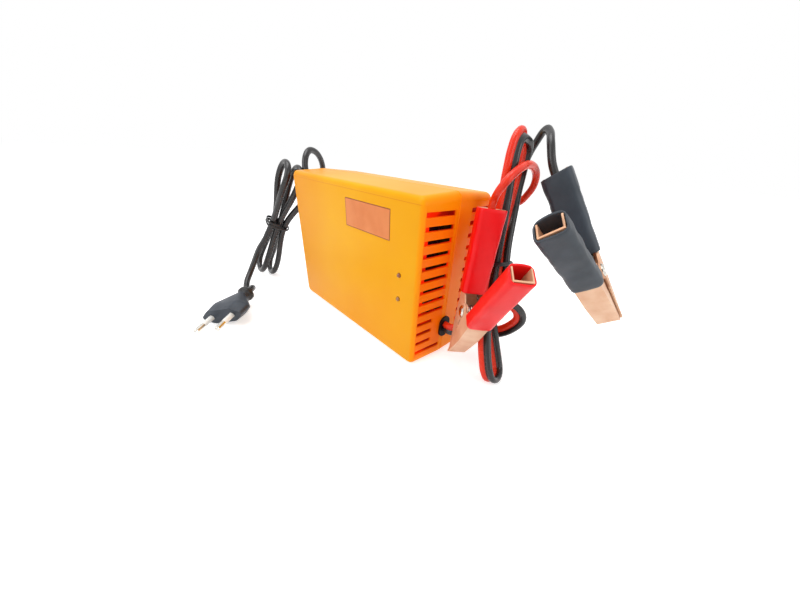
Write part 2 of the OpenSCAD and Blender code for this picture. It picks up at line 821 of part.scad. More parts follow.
module transformer_bobbin() {
    w = core_mid + 0.6;
    t = core_t + 0.6;
    out = core_w - 2 * core_leg - 1;
    deep = core_t + 12;
    inner_h = core_h - 2 * core_leg - 0.6;
    color([0.12, 0.12, 0.13])
        on_board(core_x, core_z) {
            for (s = [-1, 1])
                translate([-core_w / 2, s * (deep / 2 + 1.2) - 1.2, 0])
                    cube([core_w, 2.4, core_foot + core_leg]);
            translate([0, 0, core_foot + core_leg + 0.3])
                difference() {
                    union() {
                        for (z = [0, inner_h - 1])
                            translate([-out / 2, -deep / 2, z]) cube([out, deep, 1]);
                        translate([-w / 2 - 0.8, -t / 2 - 0.8, 0])
                            cube([w + 1.6, t + 1.6, inner_h]);
                    }
                    translate([-w / 2, -t / 2, -over]) cube([w, t, inner_h + 2 * over]);
                }
            for (s = [-1, 1])
                translate([-out / 2, s * deep / 2 - (s > 0 ? 1 : 0), core_foot + core_leg - skin])
                    cube([out, 1, 0.5]);
        }
}

module transformer_winding() {
    w = core_mid + 2.6;
    t = core_t + 2.6;
    out = core_w - 2 * core_leg - 1.6;
    deep = core_t + 11;
    h = core_h - 2 * core_leg - 3;
    color([0.93, 0.78, 0.2])
        on_board(core_x, core_z) translate([0, 0, core_foot + core_leg + 1.5])
            linear_extrude(h) difference() {
                round_rect(out, deep, 2.5);
                square([w, t], center = true);
            }
}

module can(d, h) {
    rotate_extrude()
        polygon([
            [0, 0], [d / 2, 0], [d / 2, 2], [d / 2 - 0.5, 2.6], [d / 2, 3.2],
            [d / 2, h - 0.8], [d / 2 - 0.8, h], [0, h],
        ]);
}

module mains_capacitor() {
    color([0.1, 0.12, 0.2]) on_board(mains_cap_x, mains_cap_z) can(mains_cap_d, mains_cap_h);
}

module output_capacitors() {
    color([0.08, 0.1, 0.12])
        for (i = [0:2])
            on_board(output_cap_x, output_cap_z + output_cap_pitch * i)
                can(output_cap_d, output_cap_h);
}

// A flat package on three legs, its tab against a heatsink at y = 0
module tab_package() {
    translate([-5, -4.6, 4]) cube([10, 3.2, 9.4]);
    difference() {
        translate([-5, -1.42, 4]) cube([10, 1.3, 15.8]);
        translate([0, -over - 1.42, 16.6]) rotate([-90, 0, 0]) cylinder(d = 3.6, h = 4);
    }
    for (x = [-2.54, 0, 2.54]) translate([x - 0.4, -3.2, 0]) cube([0.8, 0.5, 4 + skin]);
}

module heatsink(w, h) {
    linear_extrude(h) {
        translate([-w / 2, 0]) square([w, 2]);
        for (i = [0:6]) translate([-w / 2 + i * (w - 1.2) / 6, 2 - skin]) square([1.2, 8]);
    }
}

sink_w = 34;
sink_h = 32;
primary_x = -14;
rectifier_x = board_right - 25;
sink_z = 6;

module primary_heatsink() {
    color([0.75, 0.76, 0.78])
        on_board(primary_x, sink_z) heatsink(sink_w, sink_h);
}

module switching_transistor() {
    color([0.1, 0.1, 0.11])
        on_board(primary_x, sink_z) tab_package();
}

module output_heatsink() {
    color([0.75, 0.76, 0.78])
        on_board(rectifier_x, sink_z) heatsink(sink_w, sink_h);
}

module output_rectifier() {
    color([0.1, 0.1, 0.11])
        on_board(rectifier_x, sink_z) tab_package();
}

module bridge_rectifier() {
    color([0.12, 0.12, 0.12])
        on_board(bridge_x, bridge_z) {
            translate([-bridge_t / 2, -bridge_w / 2, leg_h]) cube([bridge_t, bridge_w, bridge_h]);
            for (i = [-1.5:1.5])
                translate([-0.4, i * bridge_w / 4.2 - 0.4, 0]) cube([0.8, 0.8, leg_h + skin]);
        }
}

module input_choke() {
    color([0.55, 0.3, 0.12])
        on_board(input_choke_x, input_choke_z) {
            w = input_choke_w;
            foot = 2;
            bar = 3;
            translate([-w / 2, -w / 2 + 1, 0]) cube([w, w - 2, foot]);
            for (s = [-1, 1])
                translate([s * (input_choke_d / 2 + 0.3), 0, foot - skin])
                    cylinder(d = input_choke_d, h = input_choke_h);
            translate([-w / 2, -bar, foot + input_choke_h - 2 * skin]) cube([w, 2 * bar, bar]);
        }
}

module output_choke() {
    color([0.72, 0.42, 0.18])
        on_board(choke_x, choke_z) translate([0, 0, choke_out]) rotate([90, 0, 0]) {
            rotate_extrude()
                translate([choke_r, 0]) square([choke_ring_w, choke_ring_h], center = true);
            for (i = [0:10])
                rotate([0, 0, i * 30 + 15]) translate([choke_r, 0, 0]) rotate([90, 0, 0])
                    linear_extrude(2.2, center = true)
                        round_rect(choke_ring_w + 2.2, choke_ring_h + 2, 1.6);
            for (x = [-3, 3]) translate([x, -choke_out, 0]) rotate([-90, 0, 0])
                cylinder(d = 1.2, h = 4.5, $fn = 16);
        }
}

fuse_x = board_left + 5;
fuse_z = 27;
fuse_l = 20;

module fuse() {
    color([0.8, 0.85, 0.85])
        on_board(fuse_x, fuse_z) translate([0, -fuse_l / 2, 6]) rotate([-90, 0, 0]) {
            cylinder(d = 4.4, h = fuse_l);
            for (y = [0, fuse_l - 5]) translate([0, 0, y]) cylinder(d = 5, h = 5);
        }
}

module fuse_clips() {
    color([0.78, 0.74, 0.6])
        on_board(fuse_x, fuse_z)
            for (s = [-1, 1])
                translate([0, s * (fuse_l / 2 - 2.5), 0]) {
                    difference() {
                        translate([-3.6, -2, 0]) cube([7.2, 4, 7.5]);
                        translate([0, 3, 6]) rotate([90, 0, 0]) cylinder(d = 5.2, h = 6);
                        translate([-2.2, -3, 6]) cube([4.4, 6, 4]);
                    }
                }
}

module control_chip() {
    color([0.1, 0.1, 0.11])
        on_board(chip_x, chip_z) {
            translate([-chip_w / 2, -chip_d / 2, 1]) cube([chip_w, chip_d, chip_h]);
            for (i = [-3.5:3.5], s = [-1, 1])
                translate([i * chip_w / 7.56 - 0.25, s * (chip_d / 2 + 0.4) - 0.5, 0])
                    cube([0.5, 1, 2.6]);
        }
}

module filter_capacitor() {
    color([0.85, 0.75, 0.15])
        on_board(filter_x, filter_z) {
            translate([-filter_t / 2, -filter_w / 2, 1.5]) cube([filter_t, filter_w, filter_h]);
            for (s = [-1, 1]) leg(0, s * (filter_w / 2 - 1.5), 2);
        }
}

// ---------------------------------------------------------------- wires inside the case

module mains_inner_wires() {
    color([0.15, 0.25, 0.6])
        for (i = [-1, 1]) {
            x0 = -half_w + gland_in;
            x1 = board_left + 10.4;
            z1 = board_z0 + 10;
            route = [
                [x0, seam_y + 2 * i, gland_z], [x0 + 3, seam_y + 2 * i, gland_z],
                [x0 + 7, seam_y + 2 + 2 * i, gland_z + i], [x0 + 12, seam_y + 8 + i, gland_z + 2 * i],
                [x1 - 5, board_y - 8, z1 + 1 + 3 * i],
                [x1, board_y - 3, z1 + 3 * i],
                [x1, board_y, z1 + 3 * i],
            ];
            tube(route, round_section(2, 8), same([0, 0, 1], len(route)));
        }
}

module output_inner_wires() {
    color([0.75, 0.12, 0.1])
        for (i = [-1, 1]) {
            x0 = half_w - gland_in;
            x1 = board_right - 3.4;
            z1 = board_z0 + 16;
            route = [
                [x0, seam_y, gland_z + 2.6 * i], [x0 - 3, seam_y, gland_z + 2.6 * i],
                [x0 - 8, seam_y + 2, gland_z + 2.6 * i],
                [(x0 + 2 * x1) / 3 - 0.7, seam_y + 8, gland_z + 1 + 2.6 * i],
                [x1 + 1.5, board_y - 8, z1 - 1 + 2.6 * i],
                [x1, board_y - 3, z1 + 2.6 * i],
                [x1, board_y, z1 + 2.6 * i],
            ];
            tube(route, round_section(2.6, 8), same([0, 0, 1], len(route)));
        }
}

// ---------------------------------------------------------------- mains lead and plug

module mains_strain_relief() {
    r = relief_d / 2;
    tip = mains_d / 2 + 0.8;
    steps = 5;
    groove = 0.7;
    color([0.1, 0.1, 0.11])
        translate([-half_w, seam_y, gland_z]) rotate([0, -90, 0])
            rotate_extrude()
                polygon(concat(
                    [[0, -gland_in], [r + 1.6, -gland_in], [r + 1.6, -wall - 0.7], [r, -wall - 0.7],
                        [r, 0.2], [r + 1.8, 0.2], [r + 1.8, 1.8], [r, 2.4]],
                    [
                        for (i = [0:steps - 1])
                            let (
                                z = 4 + i * (relief_l - 6) / steps,
                                edge = r + (tip - r) * (i + 0.5) / steps
                            )
                            each [[edge, z], [edge - groove, z + 0.3], [edge - groove, z + 1.5],
                                [edge, z + 1.8]]
                    ],
                    [[tip, relief_l], [0, relief_l]]
                ));
}

module mains_lead() {
    color([0.1, 0.1, 0.11])
        tube(mains_lead_points, round_section(mains_d, 10),
            same([0.3, 0.9, 0.25], len(mains_lead_points)));
}

module mains_hank() {
    color([0.1, 0.1, 0.11])
        tube(hank_points, round_section(mains_d, 6),
            same(turned(hank_turn, [0, 1, 0]), len(hank_points)));
}

module mains_tail() {
    color([0.1, 0.1, 0.11])
        tube(mains_tail_points, round_section(mains_d, 10),
            same([0.9, 0.3, 0.3], len(mains_tail_points)));
}

// The tie on the output lead is this far along the lead from the start of its fold
output_tie_s = fold_start + 14;
tie_wind = 540;
tie_climb = 4.4;

// A wire wound one and a half turns round a bundle that is w by d, with its ends out
function tie_points(w, d, wind) = concat(
    [[w + 9, -d * 0.3 - 3, -3.5], [w + 5, -d * 0.3 - 1.2, -2.6]],
    [
        for (a = [-20:20:wind])
            let (c = cos(a), s = sin(a))
            [w * sign(c) * sqrt(abs(c)), d * sign(s) * sqrt(abs(s)), tie_climb * (a / wind - 0.5)]
    ]
);

module tie(at, turn, w, d) {
    p = tie_points(w, d, tie_wind);
    translate(at) rotate(turn)
        tube(p, round_section(tie_d, 6), same([0, 0, 1], len(p)));
}

module mains_tie() {
    color([0.08, 0.08, 0.09])
        tie(hank_at, hank_turn, hank_waist + mains_d / 2 + tie_d / 2 + 0.9,
            hank_pitch + mains_d / 2 + tie_d / 2 + 0.6);
}

module plug_place() {
    translate(plug_in) rotate([90 + plug_pitch, 0, plug_yaw]) rotate([0, 0, plug_roll]) children();
}

module plug_body() {
    edge = 2.3;
    collar_l = 9;
    color([0.17, 0.19, 0.23])
        plug_place() {
            difference() {
                hull() {
                    for (s = [-1, 1]) {
                        translate([s * (plug_w / 2 - edge), 0, plug_l - 2])
                            cylinder(r = edge, h = 2, $fn = 24);
                        translate([s * (plug_w / 2 - edge), 0, plug_l - 12])
                            cylinder(r = edge + 0.5, h = 4, $fn = 24);
                        translate([s * plug_core_x, 0, plug_l - 1.2])
                            cylinder(d = plug_end_t, h = 1.2, $fn = 32);
                        translate([s * plug_core_x, 0, plug_l - 12])
                            cylinder(d = plug_t, h = 3, $fn = 32);
                    }
                    translate([0, 0, collar_l]) cylinder(d = collar_d - 2.5, h = 2, $fn = 32);
                }
                for (s = [-1, 1])
                    translate([s * pin_pitch / 2, 0, plug_l - pin_root])
                        cylinder(d = pin_d + 0.1, h = pin_root + over);
            }
            rotate_extrude()
                polygon([
                    [0, 0], [collar_d / 2 - 1.6, 0], [collar_d / 2, 1.4], [collar_d / 2, 4],
                    [collar_d / 2 - 0.8, 5], [collar_d / 2 - 1.6, 6.4], [collar_d / 2 - 1.8, collar_l + 3],
                    [0, collar_l + 3],
                ]);
        }
}

module plug_pins() {
    bare_from = pin_root + pin_sleeve_l + 0.1;
    end = pin_root + pin_l;
    color([0.8, 0.8, 0.8])
        plug_place()
            for (s = [-1, 1])
                translate([s * pin_pitch / 2, 0, plug_l - pin_root])
                    rotate_extrude()
                        polygon([
                            [0, 0], [pin_d / 2, 0], [pin_d / 2, pin_root - 0.2],
                            [pin_neck_d / 2, pin_root], [pin_neck_d / 2, bare_from],
                            [pin_d / 2, bare_from], [pin_d / 2, end - 1.4],
                            [pin_d / 2 - 0.5, end - 0.4], [pin_d / 2 - 1.3, end], [0, end],
                        ]);
}

module plug_pin_sleeves() {
    color([0.9, 0.9, 0.88])
        plug_place()
            for (s = [-1, 1])
                translate([s * pin_pitch / 2, 0, plug_l])
                    difference() {
                        cylinder(d = pin_d - 0.1, h = pin_sleeve_l);
                        translate([0, 0, -over])
                            cylinder(d = pin_neck_d + 0.1, h = pin_sleeve_l + 2 * over);
                    }
}

// ---------------------------------------------------------------- output lead

module output_gland() {
    color([0.07, 0.07, 0.08])
        translate([half_w, seam_y, gland_z]) {
            translate([0.1, 0, 0]) stadium(gland_w, gland_h, gland_rim - 0.1);
            translate([-gland_in, 0, 0]) stadium(gland_w - 2, gland_h - 2, gland_in + gland_rim);
            translate([-gland_in, 0, 0]) stadium(gland_w, gland_h, 1.4);
        }
}

module output_lead() {
    n = len(output_lead_points);
    color([0.85, 0.16, 0.08])
        tube(output_lead_points, twin_section(core_d),
            blend([0, 0, 1], fold_wide, n));
}

module output_hank() {
    color([0.85, 0.16, 0.08])
        tube(fold_points, flat_section(core_d),
            same(fold_wide, len(fold_points)));
}

module output_tie() {
    middle = hank_point(output_tie_s, fold_run, fold_r, 0, fold_pitch, fold_pitch, 0, fold_bow);
    color([0.08, 0.08, 0.09])
        tie(fold_at + turned(fold_turn, [middle[0] - fold_r * ease(abs(middle[2]) / (fold_run / 2)),
                middle[1], middle[2]]),
            fold_turn, fold_waist + core_d / 2 + tie_d / 2 + 0.8,
            fold_pitch / 2 + core_d + tie_d / 2 + 0.5);
}

module red_lead() {
    color([0.9, 0.2, 0.12])
        tube(red_lead_points, round_section(core_d, 8),
            same([0.6, -0.3, 0.1], len(red_lead_points)));
}

module black_lead() {
    color([0.1, 0.1, 0.11])
        tube(black_lead_points, round_section(core_d, 8),
            same([0.3, -0.9, 0.2], len(black_lead_points)));
}

// ---------------------------------------------------------------- battery clamps
// A clamp lies in its own frame: the pivot is along Y, the handles are up, and the moving
// half is on the +X side. The fixed half is the same pressing turned half way round.

jaw_gap = 0.25;
tooth = (jaw_l - bend_z - 1) / (2 * teeth);

function jaw_outer() = [
    [tip_t, -jaw_l], [bend_x, -bend_z], handle_xz(0, channel_d / 2),
    handle_xz(handle_l, channel_d / 2),
];
function jaw_inner_edge() = concat(
    [
        handle_xz(handle_l, -channel_d / 2), handle_xz(0, -channel_d / 2),
        [ear_r * 0.7, ear_r * 0.66], [jaw_gap, -ear_r * 0.8], [jaw_gap + 1.8, -ear_r - 2],
        [jaw_gap + 1.8, -bend_z + 1],
    ],
    [for (i = [0:2 * teeth]) [jaw_gap + (i % 2) * 0.8, -bend_z - i * tooth]],
    [[jaw_gap, -jaw_l]]
);

module jaw_sheet(y0, y1) {
    translate([0, y1, 0]) rotate([90, 0, 0]) linear_extrude(y1 - y0) children();
}

module jaw_half() {
    y0 = -channel_w / 2 - half_shift;
    y1 = channel_w / 2 - half_shift;
    web_in = [
        handle_xz(handle_l, channel_d / 2 - sheet), handle_xz(0, channel_d / 2 - sheet),
        [bend_x - sheet * 1.04, -bend_z - 0.1], [tip_t - sheet, -jaw_l],
    ];
    difference() {
        union() {
            for (y = [y0, y1 - sheet])
                jaw_sheet(y, y + sheet) {
                    polygon(concat(jaw_outer(), jaw_inner_edge()));
                    circle(r = ear_r);
                }
            jaw_sheet(y0, y1) polygon(concat(jaw_outer(), web_in));
        }
        rotate([90, 0, 0]) cylinder(d = rivet_d + 2 * rivet_gap, h = 2 * channel_w, center = true);
    }
}

module fixed_jaw() {
    color([0.95, 0.68, 0.5])
        rotate([0, 0, 180]) {
            jaw_half();
            // Barrel that is crimped on the lead's core
            p = handle_xz(crimp_s, wire_n);
            translate([p[0], -half_shift, p[1]]) rotate([0, handle_angle, 0])
                cylinder(r = crimp_r, h = crimp_l, $fn = 32);
        }
}

module moving_jaw() {
    color([0.95, 0.68, 0.5]) jaw_half();
}

module rivet() {
    half = channel_w / 2 + half_shift + 0.1;
    rim = half + 0.4;
    top = half + 1.1;
    color([0.8, 0.76, 0.7])
        rotate([90, 0, 0])
            rotate_extrude()
                polygon([
                    [0, -top], [rivet_head_d / 2 - 1, -top], [rivet_head_d / 2, -rim],
                    [rivet_head_d / 2, -half], [rivet_d / 2, -half], [rivet_d / 2, half],
                    [rivet_head_d / 2, half], [rivet_head_d / 2, rim],
                    [rivet_head_d / 2 - 1, top], [0, top],
                ]);
}

// A torsion spring round the rivet, its legs on the webs of both handles
spring_from = 92;
spring_curl = 360 * 4 - 2 * (spring_from - 90);
spring_gap = 0.15;
spring_r = rivet_d / 2 + spring_wire / 2 + 0.35;
spring_y = channel_w / 2 - half_shift - sheet - spring_wire / 2 - spring_gap;
spring_rings = 32;
spring_mouth = handle_xz(-2.6, -2.4);
spring_leg = handle_xz(8, channel_d / 2 - sheet - spring_wire / 2 - spring_gap);
function spring_points() = concat(
    [[spring_leg[0], -spring_y, spring_leg[1]], [spring_mouth[0], -spring_y, spring_mouth[1]]],
    [
        for (i = [0:spring_rings])
            let (a = spring_from + spring_curl * i / spring_rings)
            [spring_r * cos(a), spring_y * (2 * i / spring_rings - 1), spring_r * sin(a)]
    ],
    [[-spring_mouth[0], spring_y, spring_mouth[1]], [-spring_leg[0], spring_y, spring_leg[1]]]
);

module spring() {
    p = spring_points();
    color([0.7, 0.7, 0.72]) tube(p, round_section(spring_wire, 6), same([0, 1, 0], len(p)));
}

module handle_sleeve() {
    w = channel_w + 2 * sleeve_gap;
    d = channel_d + 2 * sleeve_gap;
    translate([handle_x, -half_shift, handle_z]) rotate([0, handle_angle, 0])
        linear_extrude(sleeve_l) difference() {
            round_rect(d + 2 * sleeve_wall, w + 2 * sleeve_wall, 1.6);
            square([d, w], center = true);
        }
}

module in_red() {
    translate(red_at) rotate(red_turn) children();
}

module in_black() {
    translate(black_at) rotate(black_turn) children();
}

module red_fixed_jaw() { in_red() fixed_jaw(); }
module red_moving_jaw() { in_red() moving_jaw(); }
module red_rivet() { in_red() rivet(); }
module red_spring() { in_red() spring(); }
module red_wire_sleeve() { color([0.95, 0.1, 0.12]) in_red() rotate([0, 0, 180]) handle_sleeve(); }
module red_free_sleeve() { color([0.95, 0.1, 0.12]) in_red() handle_sleeve(); }
module black_fixed_jaw() { in_black() fixed_jaw(); }
module black_moving_jaw() { in_black() moving_jaw(); }
module black_rivet() { in_black() rivet(); }
module black_spring() { in_black() spring(); }
module black_wire_sleeve() {
    color([0.2, 0.24, 0.28]) in_black() rotate([0, 0, 180]) handle_sleeve();
}
module black_free_sleeve() { color([0.2, 0.24, 0.28]) in_black() handle_sleeve(); }

front_cover();
rear_cover();
case_screws();
label_plate();
power_led();
charge_led();
indicator_board();
indicator_wires();
main_board();
board_screws();
transformer_core();
transformer_bobbin();
transformer_winding();
mains_capacitor();
output_capacitors();
switching_transistor();
primary_heatsink();
output_rectifier();
output_heatsink();
bridge_rectifier();
input_choke();
output_choke();
fuse();
fuse_clips();
control_chip();
filter_capacitor();
mains_inner_wires();
output_inner_wires();
mains_strain_relief();
output_gland();
mains_lead();
mains_hank();
mains_tail();
mains_tie();
plug_body();
plug_pins();
plug_pin_sleeves();
output_lead();
output_hank();
output_tie();
red_lead();
black_lead();
red_fixed_jaw();
red_moving_jaw();
red_rivet();
red_spring();
red_wire_sleeve();
red_free_sleeve();
black_fixed_jaw();
black_moving_jaw();
black_rivet();
black_spring();
black_wire_sleeve();
black_free_sleeve();
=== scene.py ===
# %% [markdown]
# # A car battery charger
# This lesson dresses a car battery charger around its finished CAD model. The charger is a
# yellow two-part case on its long edge. A black mains lead, folded into a hank, ends in a
# flat two-pin plug, and a twin red and black lead ends in two sprung clamps.
# The first cell loads the CAD parts as a fixed frame. Nothing in the frame is ever moved.

# %% Load the frame
import math

import bmesh
import bpy
import numpy as np
from mathutils import Matrix, Vector


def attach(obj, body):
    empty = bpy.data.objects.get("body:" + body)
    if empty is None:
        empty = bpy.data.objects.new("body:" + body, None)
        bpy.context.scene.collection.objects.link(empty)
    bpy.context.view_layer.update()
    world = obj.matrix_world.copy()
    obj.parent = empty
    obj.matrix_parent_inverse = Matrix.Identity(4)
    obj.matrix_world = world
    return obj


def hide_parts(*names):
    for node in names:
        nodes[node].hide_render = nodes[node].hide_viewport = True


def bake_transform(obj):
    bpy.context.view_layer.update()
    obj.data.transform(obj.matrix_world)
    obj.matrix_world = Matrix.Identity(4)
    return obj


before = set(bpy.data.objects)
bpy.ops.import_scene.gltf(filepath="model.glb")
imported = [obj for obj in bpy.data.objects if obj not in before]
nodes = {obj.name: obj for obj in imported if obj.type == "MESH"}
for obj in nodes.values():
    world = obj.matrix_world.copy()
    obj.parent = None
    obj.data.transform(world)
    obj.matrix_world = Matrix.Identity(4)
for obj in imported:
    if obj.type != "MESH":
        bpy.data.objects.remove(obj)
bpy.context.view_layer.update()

MM = 0.001
norm = np.linalg.norm

# %% [markdown]
# ## The camera
# A product picture taken from close by has strong perspective, so the lens is short. The
# camera's place and its three axes give the view, and a small shift frames it.

# %% The camera
CAMERA_AT = (182.087, -141.568, 128.532)
CAMERA_RIGHT = (0.685034, 0.725776, 0.063069)
CAMERA_DOWN = (0.415175, -0.317795, -0.852429)
FOCAL_PX = 277.277
IMAGE_W = 800
SENSOR_MM = 36.0


def new_object(name, data):
    """An object with that data, in the scene."""
    obj = bpy.data.objects.new(name, data)
    bpy.context.scene.collection.objects.link(obj)
    return obj


right = Vector(CAMERA_RIGHT)
up = -Vector(CAMERA_DOWN)
back = right.cross(up)
camera_data = bpy.data.cameras.new("camera")
camera_data.sensor_width = SENSOR_MM
camera_data.lens = SENSOR_MM * FOCAL_PX / IMAGE_W
camera_data.shift_x = -0.01344
camera_data.shift_y = 0.02746
camera_data.clip_start = 0.005
camera = new_object("camera", camera_data)
camera.matrix_world = Matrix.Translation(Vector(CAMERA_AT) * MM) @ Matrix(
    (right, up, back)).transposed().to_4x4()
bpy.context.scene.camera = camera
print("lens", round(camera_data.lens, 2), "mm")

# %% [markdown]
# ## Routes of the leads
# A lead is a fixed length of something flexible. Each route is a list of points in
# millimetres, and a smooth line goes through them all. A centripetal spline is used,
# because it doesn't overshoot where the points are close together.

# %% A smooth line through points
SPLINE_STEPS = 12


def through(points, step=1.5):
    """A line through the points, with a point every step, and each point's place in the list."""
    p = np.array(points, float)
    p = np.vstack([2 * p[0] - p[1], p, 2 * p[-1] - p[-2]])
    knots = np.concatenate([[0], np.cumsum(np.sqrt(norm(np.diff(p, axis=0), axis=1)))])
    parts, places = [], []
    for i in range(1, len(p) - 2):
        a, b, c, d = p[i - 1:i + 3]
        ta, tb, tc, td = knots[i - 1:i + 3]
        share = np.arange(SPLINE_STEPS)[:, None] / SPLINE_STEPS
        t = tb + (tc - tb) * share
        ab = ((tb - t) * a + (t - ta) * b) / (tb - ta)
        bc = ((tc - t) * b + (t - tb) * c) / (tc - tb)
        cd = ((td - t) * c + (t - tc) * d) / (td - tc)
        abc = ((tc - t) * ab + (t - ta) * bc) / (tc - ta)
        bcd = ((td - t) * bc + (t - tb) * cd) / (td - tb)
        parts.append(((tc - t) * abc + (t - tb) * bcd) / (tc - tb))
        places.append(i - 1 + share[:, 0])
    line = np.vstack(parts + [p[-2:-1]])
    places = np.concatenate(places + [[len(points) - 1]])
    along = np.concatenate([[0], np.cumsum(norm(np.diff(line, axis=0), axis=1))])
    at = np.linspace(0, along[-1], int(along[-1] / step) + 1)
    even = np.stack([np.interp(at, along, line[:, k]) for k in range(3)], axis=1)
    return even, np.interp(at, along, places)


def length_of(line):
    """Length of a line of points, in metres."""
    return float(norm(np.diff(line, axis=0), axis=1).sum()) * MM


def unit(v):
    v = np.array(v, float)
    return v / norm(v)


def placed(at, turn):
    """The matrix of a piece turned about X, then Y, then Z, and moved to a place."""
    x, y, z = [math.radians(a) for a in turn]
    return (Matrix.Translation(at) @ Matrix.Rotation(z, 4, "Z") @ Matrix.Rotation(y, 4, "Y")
            @ Matrix.Rotation(x, 4, "X"))


def carried(matrix, points):
    return np.array([matrix @ Vector(p) for p in points])


# %% [markdown]
# A hank is a lead folded to and fro and tied at its waist. Each loop is two runs joined by
# half turns. The runs are drawn in at the tie and fan out towards the folds.

# %% A hank's points
def eased(t):
    return (1 - math.cos(math.pi * t)) / 2


def hank_point(s, run, r, waist, pitch, fan, middle, bow):
    """A point of a hank, s along its loops, in the hank's own frame."""
    turn = math.pi * r
    loop = 2 * (run + turn)
    k = math.floor(s / loop)
    q = s - k * loop
    if q < run:
        z, side, layer = q - run / 2, 1, k
    elif q < run + turn:
        a = (q - run) / r
        z, side, layer = run / 2 + r * math.sin(a), math.cos(a), k
    elif q < 2 * run + turn:
        z, side = run / 2 - (q - run - turn), -1
        layer = k + eased((q - run - turn) / run)
    else:
        a = (q - 2 * run - turn) / r
        z, side, layer = -run / 2 - r * math.sin(a), -math.cos(a), k + 1
    out = eased(min(1, abs(z) / (run / 2)))
    straight = abs(side) == 1
    x = side * (waist + (r - waist) * out) if straight else side * r
    bend = 1 - (z / (run / 2 + r)) ** 2
    y = (layer - middle) * (pitch + (fan - pitch) * out)
    return [x + bow[0] * bend, y + bow[1] * bend, z]


# %% [markdown]
# The mains lead leaves its strain relief at the left end, goes up and over the top corner,
# and comes down into a hank that leans on the case. Its tail runs to the plug on the floor.

# %% The mains lead's route
MAINS_D = 5.4
RELIEF_OUT = np.array([-106, -4, 24])
HANK_AT, HANK_TURN = (-121, -36, 58.5), (24, -22, 166)
HANK_RUN, HANK_R, HANK_WAIST = 98, 11, 3.1
HANK_PITCH, HANK_FAN, HANK_MIDDLE = 6, 11, 1
HANK_TURNS, HANK_LAST, HANK_POINTS = 4, 0.62, 90
HANK_END = HANK_TURNS * (HANK_RUN + math.pi * HANK_R) + HANK_LAST * HANK_RUN
IN_RELIEF, IN_PLUG = 8, 4
PLUG_IN = np.array([-79, -87.5, 12.1103])
PLUG_DIR = np.array([0.665465, -0.739074, -0.104528])

hank_place = placed(HANK_AT, HANK_TURN)
hank = carried(hank_place, [
    [-p[0], p[1], -p[2]] for p in [
        hank_point(s, HANK_RUN, HANK_R, HANK_WAIST, HANK_PITCH, HANK_FAN, HANK_MIDDLE, (0, 0))
        for s in np.linspace(0, HANK_END, HANK_POINTS)]])
hank_in, hank_out = unit(hank[1] - hank[0]), unit(hank[-1] - hank[-2])
mains_route, _ = through([
    RELIEF_OUT + [IN_RELIEF, 0, 0], RELIEF_OUT, RELIEF_OUT - [MAINS_D, 0, 0],
    [-121, -3, 26.5], [-129, 0, 36], [-132, 4, 49], [-131, 9, 63], [-128, 13, 77],
    [-123, 16, 91], [-117, 17, 104], [-112, 14, 115], [-107, 7, 122.5],
    [-102, -2, 124.5], [-97, -9, 120], [-93.5, -12.5, 110.5],
    hank[0] - MAINS_D * hank_in, *hank, hank[-1] + MAINS_D * hank_out,
    [-128, -57, 33], [-127, -64, 22], [-123, -71.5, 12.5], [-116, -78, 6.5],
    [-107, -81.5, 3.4], [-98, -80.5, 5.6], [-90, -80, 10.5],
    PLUG_IN - MAINS_D * PLUG_DIR, PLUG_IN, PLUG_IN + IN_PLUG * PLUG_DIR,
])
print("mains lead", round(length_of(mains_route), 3), "m")

# %% [markdown]
# The output lead is two cores moulded side by side. It leaves the oval gland with one core
# above the other, and is folded up and down once and a half. At its end the cores part. A
# flat lead never stays flat round a fold: at the top it rolls until the red core is outside.
# Where the fold meets the floor it lies down on it, so its middle line stays at one height.

# %% The output lead's route
CORE_D = 4.3
FOLD_AT, FOLD_TURN = (108.2, 14.1, 71.3), (-15, 13, 98)
FOLD_RUN, FOLD_R, FOLD_WAIST, FOLD_MIDDLE = 127, 9, 2.7, 0.5
FOLD_GAP, FOLD_FIRST, FOLD_LAST = 0.5, 0.42, 0.78
FOLD_PITCH = 2 * CORE_D + FOLD_GAP
FOLD_LOOP = 2 * (FOLD_RUN + math.pi * FOLD_R)
FOLD_START = FOLD_FIRST * FOLD_RUN
FOLD_END = FOLD_LOOP + FOLD_LAST * FOLD_RUN
FOLD_BOW, FOLD_POINTS = (2, 9), 60
REST_Z = 3.1
GLAND, IN_GLAND = np.array([81.2, -4, 24]), 3
ROLL_REACH, ROLL_FADE = 62, 32
RED_OUTSIDE = np.array([-0.36, -0.6, 0.7])
SPLIT_GAP = 0.1

fold_place = placed(FOLD_AT, FOLD_TURN)
fold = carried(fold_place, [
    hank_point(s, FOLD_RUN, FOLD_R, FOLD_WAIST, FOLD_PITCH, FOLD_PITCH, FOLD_MIDDLE, FOLD_BOW)
    for s in np.linspace(FOLD_START, FOLD_END, FOLD_POINTS)])
fold[:, 2] = np.maximum(fold[:, 2], REST_Z)
fold_wide = np.array(fold_place.to_3x3() @ Vector((0, 1, 0)))
fold_in, fold_out = unit(fold[1] - fold[0]), unit(fold[-1] - fold[-2])
lead_points = [
    GLAND - [IN_GLAND, 0, 0], GLAND, GLAND + [CORE_D, 0, 0],
    [89.6, -1.8, 24], [92, 3.5, 23], [94.5, 9.5, 21.5], [98, 15.5, 20.5], [104, 20.5, 21],
    [111, 23.5, 24.5], [117, 24.5, 31], [120.5, 24, 38], [120, 22.5, 43],
    [117.8, 19.6, 47], [114.2, 17.2, 49.3], [110.7, 15.9, 51.6],
    fold[0] - CORE_D * fold_in,
]
twin_route, twin_places = through([*lead_points, *fold])
turned = np.clip(twin_places / len(lead_points), 0, 1)[:, None]
twin_across = (1 - turned) * np.array([0, 0, 1]) + turned * fold_wide
fold_along = (twin_places - len(lead_points)) / (len(fold) - 1) * (FOLD_END - FOLD_START)
